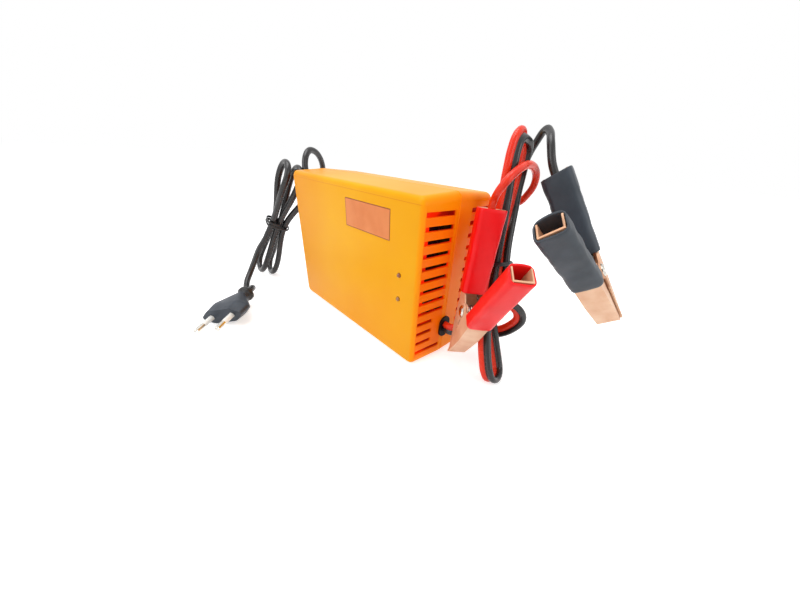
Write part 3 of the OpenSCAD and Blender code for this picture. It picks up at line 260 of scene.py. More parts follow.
TOP_ALONG = FOLD_RUN + math.pi * FOLD_R / 2 - FOLD_START
near_top = np.clip((ROLL_REACH - abs(fold_along - TOP_ALONG)) / ROLL_FADE, 0, 1)[:, None]
twin_across = (1 - near_top) * twin_across + near_top * RED_OUTSIDE
split = (CORE_D / 2 + SPLIT_GAP) * unit(fold_wide - (fold_wide @ fold_out) * fold_out)
print("twin lead", round(length_of(twin_route), 3), "m")

# %% [markdown]
# A clamp's own frame has its pivot along Y and its handles up. A lead goes into the mouth of
# the fixed handle's sleeve and down to the crimp inside it.

# %% The clamps' places and the two short leads
RED_CLAMP = placed((105.6, -11, 49.2), (-4, 15, -41))
BLACK_CLAMP = placed((146.5, 33.4, 76.8), (38, 16.5, -63.5))
HANDLE_X, HANDLE_Z, HANDLE_ANGLE = 13, 5.2, math.radians(20.5)
CHANNEL_W, CHANNEL_D, SHEET_T = 12.2, 7.4, 0.85
HALF_GAP, RIVET_D = 0.4, 4.6
HALF_SHIFT = (SHEET_T + HALF_GAP) / 2
SLEEVE_L, HANDLE_PROUD, WIRE_CLEAR = 48, 0.2, 4
CRIMP_T, CRIMP_SINK = 0.7, 0.1
WIRE_N = CHANNEL_D / 2 - SHEET_T - (CORE_D / 2 + CRIMP_T) + CRIMP_SINK
WIRE_OUT, WIRE_END = SLEEVE_L + HANDLE_PROUD + WIRE_CLEAR, 35


def handle_xz(s, n):
    """Along a handle from the start of its sleeve, and out from its middle line."""
    return (HANDLE_X + s * math.sin(HANDLE_ANGLE) + n * math.cos(HANDLE_ANGLE),
            HANDLE_Z + s * math.cos(HANDLE_ANGLE) - n * math.sin(HANDLE_ANGLE))


def wire_at(clamp, s):
    x, z = handle_xz(s, WIRE_N)
    return np.array(clamp @ Vector((-x, HALF_SHIFT, z)))


red_route, _ = through([
    fold[-1] + split, fold[-1] + split + CORE_D * fold_out,
    [81.6, 30.5, 108.3], [82.2, 36, 108], [84.8, 40, 106], [88, 41.8, 104.8],
    [92, 42, 106.3], [95.5, 41.5, 110.5], [98, 41.5, 115.5], [99, 40, 120.5],
    [99.3, 36, 124.5], [100.3, 25, 127], [102, 11, 124.5], [101.8, 3, 120], [98.8, 1.5, 114.5],
    wire_at(RED_CLAMP, WIRE_OUT), wire_at(RED_CLAMP, WIRE_END),
])
black_route, _ = through([
    fold[-1] - split, fold[-1] - split + CORE_D * fold_out,
    [86.3, 32.8, 111.5], [86, 38, 117], [86, 43, 122.5], [86, 47.5, 127.5], [87, 49.5, 134],
    [89.5, 49, 139], [92, 48.5, 143.5], [95, 46.5, 145], [99, 43, 143], [103.5, 37, 138],
    wire_at(BLACK_CLAMP, WIRE_OUT), wire_at(BLACK_CLAMP, WIRE_END),
])
print("red lead", round(length_of(red_route), 3), "black lead", round(length_of(black_route), 3))

# %% [markdown]
# ## Hand tools
# Blender's operators act on whatever is selected, so each piece is first made the only
# selected one. These helpers do what a modeller does by hand between two steps.

# %% Select, apply and copy
def only(obj):
    """Makes obj the one selected and active object."""
    if bpy.context.object and bpy.context.object.mode != "OBJECT":
        bpy.ops.object.mode_set(mode="OBJECT")
    bpy.ops.object.select_all(action="DESELECT")
    obj.select_set(True)
    bpy.context.view_layer.objects.active = obj


def edit(obj, everything=False):
    """Opens obj in edit mode with all of it selected, or nothing."""
    only(obj)
    bpy.ops.object.mode_set(mode="EDIT")
    bpy.ops.mesh.select_mode(type="VERT")
    bpy.ops.mesh.select_all(action="SELECT" if everything else "DESELECT")


def done():
    bpy.ops.object.mode_set(mode="OBJECT")


def pick(obj, kind, test):
    """Selects the faces or edges of obj in edit mode for which test is true."""
    bpy.ops.mesh.select_mode(type={"faces": "FACE", "edges": "EDGE"}[kind])
    bpy.ops.mesh.select_all(action="DESELECT")
    bm = bmesh.from_edit_mesh(obj.data)
    for e in getattr(bm, kind):
        e.select_set(bool(test(e)))
    bm.select_flush_mode()
    bmesh.update_edit_mesh(obj.data)


def apply_modifiers(obj):
    only(obj)
    for m in list(obj.modifiers):
        bpy.ops.object.modifier_apply(modifier=m.name)


def settle(obj, place=None):
    """Puts the piece in its place and leaves that place in its mesh."""
    if place is not None:
        obj.matrix_world = place @ obj.matrix_world
    only(obj)
    bpy.ops.object.transform_apply(location=True, rotation=True, scale=True)


def smooth(obj, angle):
    only(obj)
    bpy.ops.object.shade_smooth_by_angle(angle=math.radians(angle))


def in_metres(matrix):
    """A matrix in millimetres, as one for a mesh in metres."""
    m = matrix.copy()
    m.translation = m.translation * MM
    return m


def triangles(obj):
    obj.data.calc_loop_triangles()
    return len(obj.data.loop_triangles)


# %% [markdown]
# A round lead is a curve with a round bevel. The curve is one open spline, so its length can
# be measured. The twin cord and the wire ties have another section, which is swept along the
# route ring by ring.

# %% Round leads and swept sections
def round_lead(name, route, diameter):
    """A curve through the route with a round section."""
    data = bpy.data.curves.new(name, "CURVE")
    data.dimensions = "3D"
    data.bevel_depth = diameter / 2 * MM
    data.bevel_resolution = 5
    data.use_fill_caps = True
    spline = data.splines.new("POLY")
    spline.points.add(len(route) - 1)
    flat = np.concatenate([np.array(route) * MM, np.ones((len(route), 1))], axis=1)
    spline.points.foreach_set("co", flat.ravel())
    spline.use_smooth = True
    return new_object(name, data)


def swept(name, route, section, across):
    """A tube of that section. Its first axis follows across at each point of the route."""
    route, section = np.array(route, float), np.array(section, float)
    along = np.gradient(route, axis=0)
    along /= norm(along, axis=1)[:, None]
    across = np.broadcast_to(np.array(across, float), route.shape)
    wide = across - (across * along).sum(1)[:, None] * along
    wide = wide / norm(wide, axis=1)[:, None]
    high = np.cross(along, wide)
    rings = (route[:, None] + section[None, :, :1] * wide[:, None]
             + section[None, :, 1:] * high[:, None])
    n, m = len(section), len(route)
    faces = [
        (i * n + j, i * n + (j + 1) % n, (i + 1) * n + (j + 1) % n, (i + 1) * n + j)
        for i in range(m - 1) for j in range(n)]
    faces += [tuple(range(n - 1, -1, -1)), tuple(range((m - 1) * n, m * n))]
    mesh = bpy.data.meshes.new(name)
    mesh.from_pydata((rings.reshape(-1, 3) * MM).tolist(), [], faces)
    mesh.update()
    obj = new_object(name, mesh)
    smooth(obj, angle=60)
    return obj


# %% [markdown]
# ## Finishes
# A material is a tree of small nodes. These helpers write a node, a sum or a mix in one line,
# so that the finishes below read like recipes.

# %% Colours and nodes
COLOUR, NUMBER = "NodeSocketColor", "NodeSocketFloat"


def paint(code):
    """A colour written as six hex digits, as the linear colour that shaders use."""
    values = [int(code[i:i + 2], 16) / 255 for i in (0, 2, 4)]
    return tuple(v / 12.92 if v < 0.04045 else ((v + 0.055) / 1.055) ** 2.4
                 for v in values) + (1.0,)


def group(name, inputs, outputs):
    """An empty shader node group with named sockets."""
    tree = bpy.data.node_groups.new(name, "ShaderNodeTree")
    for label, kind in inputs:
        tree.interface.new_socket(label, in_out="INPUT", socket_type=kind)
    for label, kind in outputs:
        tree.interface.new_socket(label, in_out="OUTPUT", socket_type=kind)
    return tree, tree.nodes.new("NodeGroupInput"), tree.nodes.new("NodeGroupOutput")


def add(tree, kind, links=(), **settings):
    """A node in the tree, with settings on it and links into its sockets."""
    n = tree.nodes.new("ShaderNode" + kind)
    for key, value in settings.items():
        setattr(n, key, value)
    for socket, source in dict(links).items():
        if isinstance(source, bpy.types.NodeSocket):
            tree.links.new(source, n.inputs[socket])
        else:
            n.inputs[socket].default_value = source
    return n


def maths(tree, operation, a, b=0.0):
    return add(tree, "Math", {0: a, 1: b}, operation=operation).outputs[0]


def times(tree, a, b):
    return maths(tree, "MULTIPLY", a, b)


def minus(tree, a, b):
    return maths(tree, "SUBTRACT", a, b)


def mixed(tree, factor, a, b):
    """Colour a where the factor is 0 and colour b where it is 1."""
    return add(tree, "Mix", {0: factor, 6: a, 7: b}, data_type="RGBA").outputs[2]


def ramp(tree, value, low, high, kind="SMOOTHSTEP"):
    """0 where the value is low and 1 where it is high, with a slope between."""
    return add(tree, "MapRange", {"Value": value, "From Min": low, "From Max": high},
               interpolation_type=kind).outputs[0]


def object_place(tree):
    """A point's place in the object's own coordinates, in metres."""
    return add(tree, "TexCoord").outputs["Object"]


def object_xyz(tree):
    return add(tree, "SeparateXYZ", {0: object_place(tree)}).outputs


# %% [markdown]
# Every finish comes from three things that real surfaces have: patches that are a little
# lighter or deeper, a roughness that isn't even, and a fine grain. One node group gives all
# three, and each material puts it in with its own numbers.

# %% The tone and grain group
PATCH_LOW, PATCH_HIGH, PATCH_SHARE, GRAIN_SHARE = 0.35, 0.65, 0.6, 0.4

tone, tone_in, tone_out = group(
    "tone_and_grain",
    [("Light", COLOUR), ("Deep", COLOUR), ("Patch size", NUMBER), ("Grain size", NUMBER),
     ("Smooth", NUMBER), ("Dull", NUMBER), ("Stretch", NUMBER)],
    [("Colour", COLOUR), ("Roughness", NUMBER), ("Height", NUMBER)])
given = tone_in.outputs
stretch = add(tone, "CombineXYZ", {0: 1.0, 1: given["Stretch"], 2: 1.0})
long_place = add(tone, "VectorMath", {0: object_place(tone), 1: stretch.outputs[0]},
                 operation="MULTIPLY").outputs[0]
patches = add(tone, "TexNoise", {
    "Vector": long_place, "Scale": given["Patch size"], "Detail": 3.0}).outputs["Fac"]
grain = add(tone, "TexNoise", {
    "Vector": long_place, "Scale": given["Grain size"], "Detail": 2.0}).outputs["Fac"]
spread = ramp(tone, patches, PATCH_LOW, PATCH_HIGH, kind="LINEAR")
uneven = maths(tone, "ADD", times(tone, spread, PATCH_SHARE), times(tone, grain, GRAIN_SHARE))
rough = add(tone, "MapRange", {
    "Value": uneven, "To Min": given["Smooth"], "To Max": given["Dull"]}).outputs[0]
tone.links.new(mixed(tone, spread, given["Light"], given["Deep"]), tone_out.inputs["Colour"])
tone.links.new(rough, tone_out.inputs["Roughness"])
tone.links.new(grain, tone_out.inputs["Height"])
print(tone.name, "has", len(tone.nodes), "nodes")


# %% [markdown]
# A finish is a plain shader behind that group. It takes a light and a deep colour, then its
# roughness from smooth to dull.

# %% A finish from the group
def finish(name, light, deep, smooth_to_dull, patch=40.0, grain=2500.0, depth=0.01,
           stretch=1.0, **sockets):
    """A material from the tone and grain group. Depth is the grain's height in mm."""
    m = bpy.data.materials.new(name)
    m.use_nodes = True
    tree = m.node_tree
    shader = tree.nodes["Principled BSDF"]
    surface = add(tree, "Group", node_tree=tone, name="surface")
    for label, value in (("Light", paint(light)), ("Deep", paint(deep)), ("Patch size", patch),
                         ("Grain size", grain), ("Smooth", smooth_to_dull[0]),
                         ("Dull", smooth_to_dull[1]), ("Stretch", stretch)):
        surface.inputs[label].default_value = value
    tree.links.new(surface.outputs["Colour"], shader.inputs["Base Color"])
    tree.links.new(surface.outputs["Roughness"], shader.inputs["Roughness"])
    bump = add(tree, "Bump", {"Height": surface.outputs["Height"], "Distance": depth * MM})
    tree.links.new(bump.outputs[0], shader.inputs["Normal"])
    for socket, value in sockets.items():
        shader.inputs[socket.replace("_", " ")].default_value = value
    m.diffuse_color = paint(light)
    return m


def own_colour(material):
    """The colour that comes out of a material's group."""
    return material.node_tree.nodes["surface"].outputs["Colour"]


def send(material, colour, socket="Base Color"):
    """Sends a colour to a material's shader."""
    tree = material.node_tree
    tree.links.new(colour, tree.nodes["Principled BSDF"].inputs[socket])


# %% [markdown]
# The case is moulded in a dyed plastic. Light goes a little way into it, so its hollow side
# and the walls of the vents look a deep red. That red is painted into the colour, as painted
# glow and shade: a second group measures how far inside the case's outer faces a point is,
# and the painted red deepens with that depth.

# %% The depth group
CASE_HALF_W, CASE_H, CASE_DRAFT = 80, 112, 2
CASE_FRONT, CASE_SEAM, CASE_REAR = -32, -4, 32
CORNER_R, EDGE_R = 5, 3
SKIN_DEPTH, RED_DEPTH = 0.35, 1.8

depths, _, depths_out = group("depth_in_the_case", [], [("Inside", NUMBER)])
x, y, z = object_xyz(depths)
behind_front = minus(depths, y, CASE_FRONT * MM)
before_rear = minus(depths, CASE_REAR * MM, y)
lean = maths(depths, "MAXIMUM",
             times(depths, minus(depths, CASE_SEAM * MM, y),
                   CASE_DRAFT / (CASE_SEAM - CASE_FRONT)),
             times(depths, minus(depths, y, CASE_SEAM * MM),
                   CASE_DRAFT / (CASE_REAR - CASE_SEAM)))
sides = minus(depths, minus(depths, CASE_HALF_W * MM, lean), maths(depths, "ABSOLUTE", x))
tops = minus(depths, minus(depths, CASE_H * MM, lean), z)


def round_corner(tree, radius, a, b):
    """Depth under two faces that meet in a round edge, from the depths under each."""
    short_a = maths(tree, "MAXIMUM", minus(tree, radius, a), 0.0)
    short_b = maths(tree, "MAXIMUM", minus(tree, radius, b), 0.0)
    squares = maths(tree, "ADD", times(tree, short_a, short_a), times(tree, short_b, short_b))
    return minus(tree, radius, maths(tree, "SQRT", squares))


corner = round_corner(depths, CORNER_R * MM, sides, maths(depths, "MINIMUM", tops, z))
nearest = round_corner(depths, EDGE_R * MM, corner,
                       maths(depths, "MINIMUM", behind_front, before_rear))
depths.links.new(ramp(depths, nearest, SKIN_DEPTH * MM, RED_DEPTH * MM),
                 depths_out.inputs["Inside"])
print(depths.name, "has", len(depths.nodes), "nodes")

# %% [markdown]
# A fine step runs along the front, a little below its top edge. Its shadow is a darker line.

# %% The case's plastic and its fine line
LINE_DOWN, LINE_HALF_W, LINE_BEHIND, LINE_SHARE = 6.2, 0.22, 0.5, 0.55

case_plastic = finish(
    "case_plastic", "EFB200", "E9A000", (0.3, 0.42), patch=9, grain=1800, depth=0.012,
    Specular_IOR_Level=0.14, Emission_Strength=1.0)
case = case_plastic.node_tree
depth_in_case = add(case, "Group", node_tree=depths).outputs["Inside"]
x, y, z = object_xyz(case)
off_line = maths(case, "ABSOLUTE", minus(case, z, (CASE_H - LINE_DOWN) * MM))
on_line = times(case, maths(case, "LESS_THAN", off_line, LINE_HALF_W * MM),
                maths(case, "LESS_THAN", y, (CASE_FRONT + LINE_BEHIND) * MM))
lined = mixed(case, times(case, on_line, LINE_SHARE), own_colour(case_plastic), paint("D87800"))
print("line at", CASE_H - LINE_DOWN, "mm")

# %% [markdown]
# The vented ends are thinner, so more of the red inside comes through them. Their deeper
# orange is painted shade and painted glow of that light. The painted red is strongest between
# the vents, except on the plain land in their middle. The case's left is deeper too, in
# painted shade.

# %% The vented ends and the inside
END_FROM, END_TO = 74, 78.5
VENTS_LOW, VENTS_TOP, VENTS_FADE = 7, 101, 3
VENTS_FRONT, LAND_FROM, LAND_TO, LAND_FADE = -29.4, -6.5, 9, 1
LEFT_FROM, LEFT_TO, LEFT_SHARE, VENTS_SHARE = 15, 75, 0.6, 0.5


def case_ramp(value, low, high):
    """A ramp in the case's plastic between two places in mm."""
    return ramp(case, value, low * MM, high * MM)


at_end = case_ramp(maths(case, "ABSOLUTE", x), END_FROM, END_TO)
beside_vents = times(case, case_ramp(z, VENTS_LOW - VENTS_FADE, VENTS_LOW),
                     case_ramp(z, VENTS_TOP + VENTS_FADE, VENTS_TOP))
on_land = times(case, case_ramp(y, LAND_FROM - LAND_FADE, LAND_FROM),
                case_ramp(y, LAND_TO + LAND_FADE, LAND_TO))
off_land = times(case, case_ramp(y, VENTS_FRONT - LAND_FADE, VENTS_FRONT),
                 minus(case, 1.0, on_land))
painted_glow_between_vents = times(case, times(case, at_end, beside_vents), off_land)
left_painted_shade = case_ramp(times(case, x, -1.0), LEFT_FROM, LEFT_TO)
# Painted shade on the left, painted shade and glow on the vented ends, painted glow between the
# vents.
skin = mixed(case, times(case, left_painted_shade, LEFT_SHARE), lined, paint("E89200"))
skin = mixed(case, at_end, skin, paint("EE9200"))
skin = mixed(case, times(case, painted_glow_between_vents, VENTS_SHARE), skin, paint("EE4E02"))
# Painted glow and shade: deep red where a point lies inside the case's outer faces.
send(case_plastic, mixed(case, depth_in_case, skin, paint("C01A02")))
print("ends from", END_FROM, "mm")

# %% [markdown]
# Light comes through the walls. Outside it is a faint even glow, a little stronger at the
# vented ends, and inside it comes in uneven patches.

# %% The glow of the plastic
GLOW_LOW, GLOW_HIGH = 0.42, 0.6
INSIDE_DIM, INSIDE_LIT = (0.05, 0.002, 0.001, 1), (0.5, 0.012, 0.0, 1)
OUTSIDE_DIM, OUTSIDE_LIT = (0.07, 0.006, 0.0, 1), (0.2, 0.02, 0.0, 1)

glow_patches = add(case, "TexNoise", {
    "Vector": object_place(case), "Scale": 70.0, "Detail": 1.0}).outputs["Fac"]
lit = ramp(case, glow_patches, GLOW_LOW, GLOW_HIGH, kind="LINEAR")
send(case_plastic,
     mixed(case, depth_in_case, mixed(case, at_end, OUTSIDE_DIM, OUTSIDE_LIT),
           mixed(case, lit, INSIDE_DIM, INSIDE_LIT)), "Emission Color")
print("case plastic:", len(case.nodes), "nodes")

# %% [markdown]
# The label is a printed film with long soft streaks and a thin dark rim. It stays bare.

# %% The label's film
LABEL_X, LABEL_Z, LABEL_W, LABEL_H, LABEL_RIM = 27.4, 90.9, 48, 18.3, 0.45

label_film = finish(
    "label_film", "EA8E50", "DF8044", (0.3, 0.5), patch=60, grain=900, depth=0.004,
    stretch=0.06, Specular_IOR_Level=0.3)
label = label_film.node_tree
x, _, z = object_xyz(label)
from_side = minus(label, (LABEL_W / 2 - LABEL_RIM) * MM,
                  maths(label, "ABSOLUTE", minus(label, x, LABEL_X * MM)))
from_edge = minus(label, (LABEL_H / 2 - LABEL_RIM) * MM,
                  maths(label, "ABSOLUTE", minus(label, z, LABEL_Z * MM)))
rim = maths(label, "LESS_THAN", maths(label, "MINIMUM", from_side, from_edge), 0.0)
send(label_film, mixed(label, rim, own_colour(label_film), paint("A8532A")))
print("label", LABEL_W, "x", LABEL_H, "mm")

# %% [markdown]
# The plug's plastic is darker on the collar where the lead goes in.

# %% The plug's plastic
COLLAR_FROM, COLLAR_TO = 6, 8.5

plug_plastic = finish(
    "plug_plastic", "353D48", "29303A", (0.34, 0.52), patch=80, grain=1100, depth=0.025,
    Specular_IOR_Level=0.4)
plug = plug_plastic.node_tree
from_collar = add(plug, "VectorMath", {
    0: object_place(plug), 1: Vector(PLUG_IN) * MM}, operation="SUBTRACT").outputs[0]
along_plug = add(plug, "VectorMath", {0: from_collar, 1: -Vector(PLUG_DIR)},
                 operation="DOT_PRODUCT").outputs["Value"]
past_collar = ramp(plug, maths(plug, "ABSOLUTE", along_plug), COLLAR_FROM * MM, COLLAR_TO * MM,
                   kind="LINEAR")
send(plug_plastic, mixed(plug, past_collar, paint("19191B"), own_colour(plug_plastic)))
print("collar up to", COLLAR_TO, "mm")

# %% [markdown]
# These finishes need nothing beyond the group's numbers.

# %% The other finishes
red_insulation = finish(
    "red_insulation", "F23A14", "E62C10", (0.2, 0.34), patch=90, grain=1500, depth=0.006,
    Specular_IOR_Level=0.35)
black_jacket = finish(
    "black_jacket", "262426", "181718", (0.17, 0.36), patch=120, grain=900, depth=0.02)
tie_plastic = finish("tie_plastic", "1D1D20", "141416", (0.3, 0.5), grain=1500, depth=0.01)
copper_plate = finish(
    "copper_plate", "ECC4A2", "DDA882", (0.36, 0.52), patch=90, grain=1600, depth=0.006,
    stretch=0.25, Metallic=0.25)
spring_steel = finish("spring_steel", "C9C9C6", "A8A8A4", (0.2, 0.35), patch=300, Metallic=1.0)
red_vinyl = finish(
    "red_vinyl", "FA1218", "EE080E", (0.26, 0.42), patch=60, grain=700, depth=0.02,
    Specular_IOR_Level=0.3)
black_vinyl = finish(
    "black_vinyl", "363E47", "262D35", (0.38, 0.54), patch=55, grain=700, depth=0.03,
    Specular_IOR_Level=0.4)
print("materials:", len(bpy.data.materials))

# %% [markdown]
# ## Leads
# The leads are made first, because a lead that spreads too far would mean a change to the
# CAD.

# %% Ride, slot and finish in one call
def fit_out(obj, material, body="root", stands_for=()):
    """Gives the piece its finish and lets it ride on its body, in place of its CAD nodes."""
    obj.data.materials.clear()
    obj.data.materials.append(material)
    if stands_for:
        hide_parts(*stands_for)
    if body:
        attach(obj, body)
    return obj


# %% [markdown]
# The mains lead is one round cord from the strain relief to the plug. It stands for three
# CAD nodes.

# %% The mains lead
mains_cord = round_lead("mains_cord", mains_route, MAINS_D)
fit_out(mains_cord, black_jacket,
        stands_for=("mains_lead", "mains_hank", "mains_tail"))
print("points:", len(mains_route))

# %% [markdown]
# The twin lead's section is two circles joined by a web. Faces on one side of the web are
# red and those on the other side black, so the two colours meet in the groove.

# %% The twin output lead
def twin_section(d, arc=150, steps=12):
    r = d / 2
    angles = np.radians(np.linspace(-arc, arc, steps + 1))
    right_core = [[r + r * math.cos(a), r * math.sin(a)] for a in angles]
    groove = r * math.sin(math.radians(arc))
    left_core = [[-x, -y] for x, y in right_core]
    return [*right_core, [0, groove], *left_core, [0, -groove]]


twin_ring = twin_section(CORE_D)
output_cord = swept("output_cord", twin_route, twin_ring, twin_across)
fit_out(output_cord, red_insulation, stands_for=("output_lead", "output_hank"))
output_cord.data.materials.append(black_jacket)
sides, half = len(twin_ring), len(twin_ring) // 2
for i, f in enumerate(output_cord.data.polygons):
    if i < (len(twin_route) - 1) * sides:
        f.material_index = 0 if i % sides < half else 1
print("twin cord", triangles(output_cord), "triangles")

# %% [markdown]
# Past the split each core is a round lead of its own, in its own colour.

# %% The two short leads
red_cord = round_lead("red_cord", red_route, CORE_D)
fit_out(red_cord, red_insulation, stands_for=("red_lead",))
black_cord = round_lead("black_cord", black_route, CORE_D)
fit_out(black_cord, black_jacket, stands_for=("black_lead",))
print("points:", len(red_route), len(black_route))

# %% [markdown]
# ## Wire ties
# A bag tie is a plastic ribbon with a thin wire in its middle. It is wound one and a half
# turns round the waist of the bundle, and one end sticks out.

# %% The two ties
TIE_WIND, TIE_CLIMB, TIE_D = 540, 4.4, 1.8
MAINS_TIE_ROOM, OUTPUT_TIE_ROOM = (0.9, 0.6), (0.8, 0.5)
TIE_PAST_START, TIE_BACK, TIE_TURN = 14, 20, 10
LOOSE_END, LOOSE_DEPTH = ((9, 3, -3.5), (5, 1.2, -2.6)), 0.3


def tie_route(w, d):
    """The tie's line round a bundle of half width w and half depth d."""
    points = [[w + x, -d * LOOSE_DEPTH - y, z] for x, y, z in LOOSE_END]
    for a in range(-TIE_BACK, TIE_WIND + 1, TIE_TURN):
        c, s = math.cos(math.radians(a)), math.sin(math.radians(a))
        points.append([w * math.copysign(math.sqrt(abs(c)), c),
                       d * math.copysign(math.sqrt(abs(s)), s),
                       TIE_CLIMB * (a / TIE_WIND - 0.5)])
    return through(points, step=0.6)[0]


RIBBON = [[1.2, 0.14], [0.55, 0.2], [0.3, 0.5], [-0.3, 0.5], [-0.55, 0.2], [-1.2, 0.14],
          [-1.2, -0.14], [-0.55, -0.2], [-0.3, -0.5], [0.3, -0.5], [0.55, -0.2], [1.2, -0.14]]


def tie(name, node, place, w, d):
    """A tie round the bundle at that place."""
    route = carried(place, tie_route(w, d))
    obj = swept(name, route, RIBBON, np.array(place.to_3x3() @ Vector((0, 0, 1))))
    return fit_out(obj, tie_plastic, stands_for=(node,))


mains_wire_tie = tie("mains_wire_tie", "mains_tie", hank_place,
                     HANK_WAIST + MAINS_D / 2 + TIE_D / 2 + MAINS_TIE_ROOM[0],
                     HANK_PITCH + MAINS_D / 2 + TIE_D / 2 + MAINS_TIE_ROOM[1])
tie_mid = hank_point(FOLD_START + TIE_PAST_START, FOLD_RUN, FOLD_R, 0, FOLD_PITCH, FOLD_PITCH,
                     0, FOLD_BOW)
tie_mid[0] -= FOLD_R * eased(abs(tie_mid[2]) / (FOLD_RUN / 2))
tie_place = placed(np.array(fold_place @ Vector(tie_mid)), FOLD_TURN)
output_wire_tie = tie("output_wire_tie", "output_tie", tie_place,
                      FOLD_WAIST + CORE_D / 2 + TIE_D / 2 + OUTPUT_TIE_ROOM[0],
                      FOLD_PITCH / 2 + CORE_D + TIE_D / 2 + OUTPUT_TIE_ROOM[1])
print("triangles:", triangles(mains_wire_tie), triangles(output_wire_tie))

# %% [markdown]
# ## The case
# The CAD covers have the right shape, but their cut edges are knife sharp, and a moulded
# edge never is. A copy of each cover is merged and cleaned of its spare edges, its vent and
# recess edges get a small round, and its large rounds are shaded as one surface. An edge
# beside a very short one is left alone, because it would hold back the rounding of them all.

# %% A cleaned copy of a CAD node
MERGE, FLAT_ANGLE, SKIN_NEAR = 0.012, 1, 0.12


def refined(name, node, width, angle=50, segments=2, shade=40, where=None, room=0):
    """A copy of a node with a round of that width, in mm, on sharp edges with that much room."""
    obj = new_object(name, nodes[node].data.copy())
    edit(obj, everything=True)
    bpy.ops.mesh.customdata_custom_splitnormals_clear()
    bpy.ops.mesh.remove_doubles(threshold=MERGE * MM)
    bpy.ops.mesh.dissolve_limited(angle_limit=math.radians(FLAT_ANGLE))
    bm = bmesh.from_edit_mesh(obj.data)
    weight = bm.edges.layers.float.new("bevel_weight_edge")
    for e in bm.edges:
        sharp = len(e.link_faces) == 2 and e.calc_face_angle(0) > math.radians(angle)
        middle = (e.verts[0].co + e.verts[1].co) / 2
        shortest = min(near.calc_length() for v in e.verts for near in v.link_edges)
        roomy = shortest > room * MM
        e[weight] = float(sharp and roomy and (where is None or where(middle / MM)))
    bmesh.update_edit_mesh(obj.data)
    done()
    if width:
        m = obj.modifiers.new("edge_round", "BEVEL")
        m.width, m.segments, m.limit_method = width * MM, segments, "WEIGHT"
        m.harden_normals = False
        apply_modifiers(obj)
    smooth(obj, shade)
    m = obj.modifiers.new("flat_stays_flat", "WEIGHTED_NORMAL")
    m.keep_sharp = True
    apply_modifiers(obj)
    print(name, triangles(obj), "triangles")
    return obj


def on_case_skin(p):
    """True on the outer faces of the case, in mm."""
    lean = CASE_DRAFT * max((CASE_SEAM - p.y) / (CASE_SEAM - CASE_FRONT),
                            (p.y - CASE_SEAM) / (CASE_REAR - CASE_SEAM))
    return (p.y < CASE_FRONT + SKIN_NEAR or p.y > CASE_REAR - SKIN_NEAR
            or abs(p.x) > CASE_HALF_W - lean - SKIN_NEAR or p.z > CASE_H - lean - SKIN_NEAR)


for name, node in (("front_shell", "front_cover"), ("rear_shell", "rear_cover")):
    cover = refined(name, node, width=0.3, where=on_case_skin, room=0.66)
    fit_out(cover, case_plastic, stands_for=(node,))

# %% [markdown]
# ## Clamp sleeves
# Each handle is pushed into a vinyl sleeve. The sleeve is soft, so it sags a little between
# the edges of the metal channel, and its mouth is never quite square. It starts as a box
# without ends. Its long edges are rounded, it is cut into rings, the rings are pushed out
# by a soft noise, and then the wall is given its thickness. Over the open side of the
# channel nothing holds the wall, so there it bulges, most of all at the mouth.

# %% One sleeve
SLEEVE_FIT, SLEEVE_WALLS = 0.1, 2.2
SLEEVE_OUT_X = CHANNEL_D + SLEEVE_FIT + SLEEVE_WALLS
SLEEVE_OUT_Y = CHANNEL_W + SLEEVE_FIT + SLEEVE_WALLS
SLEEVE_CORNER, SLEEVE_STEPS, SLEEVE_RINGS, SLEEVE_ACROSS = 2.6, 6, 23, 3
SLEEVE_WAVE, SLEEVE_INWARD, SLEEVE_WALL, SLEEVE_RIM = 12, 0.3, 1.05, 0.3
SLEEVE_LEVEL, SLEEVE_FLAT_SIDE, SLEEVE_SHARP = 0.01, 4, 50
# The mouth's scale across and along the pivot, the bulge and the slack
GRIPS = {"red_wire": ((1.0, 1.06), 0.6, 0.9), "red_free": ((0.96, 0.76), 0.8, 0.9),
         "black_wire": ((1.0, 1.04), 0.9, 1.5), "black_free": ((1.12, 0.93), 1.6, 1.6)}


def handle_frame(clamp, fixed):
    """Where a handle's sleeve starts, with Z along the handle, in metres."""
    return in_metres(clamp @ Matrix.Rotation(math.pi if fixed else 0, 4, "Z")
                     @ Matrix.Translation((HANDLE_X, -HALF_SHIFT, HANDLE_Z))
                     @ Matrix.Rotation(HANDLE_ANGLE, 4, "Y"))


def drawn_in(obj, at_handle, mouth, bulge=0):
    """Scales a handle or sleeve towards its mouth, and bulges its open side by that many mm."""
    back_to = at_handle.inverted()
    for v in obj.data.vertices:
        q = back_to @ v.co
        share = min(1, max(0, q.z / (SLEEVE_L * MM)))
        off_middle = q.y / (SLEEVE_OUT_Y / 2 * MM)
        q.x *= 1 + (mouth[0] - 1) * share
        q.y *= 1 + (mouth[1] - 1) * share
        if q.x < 0:
            q.x -= bulge * MM * share * max(0, 1 - off_middle ** 2)
        v.co = at_handle @ q


def rise(e):
    """How far an edge climbs along the sleeve."""
    return abs(e.verts[0].co.z - e.verts[1].co.z)


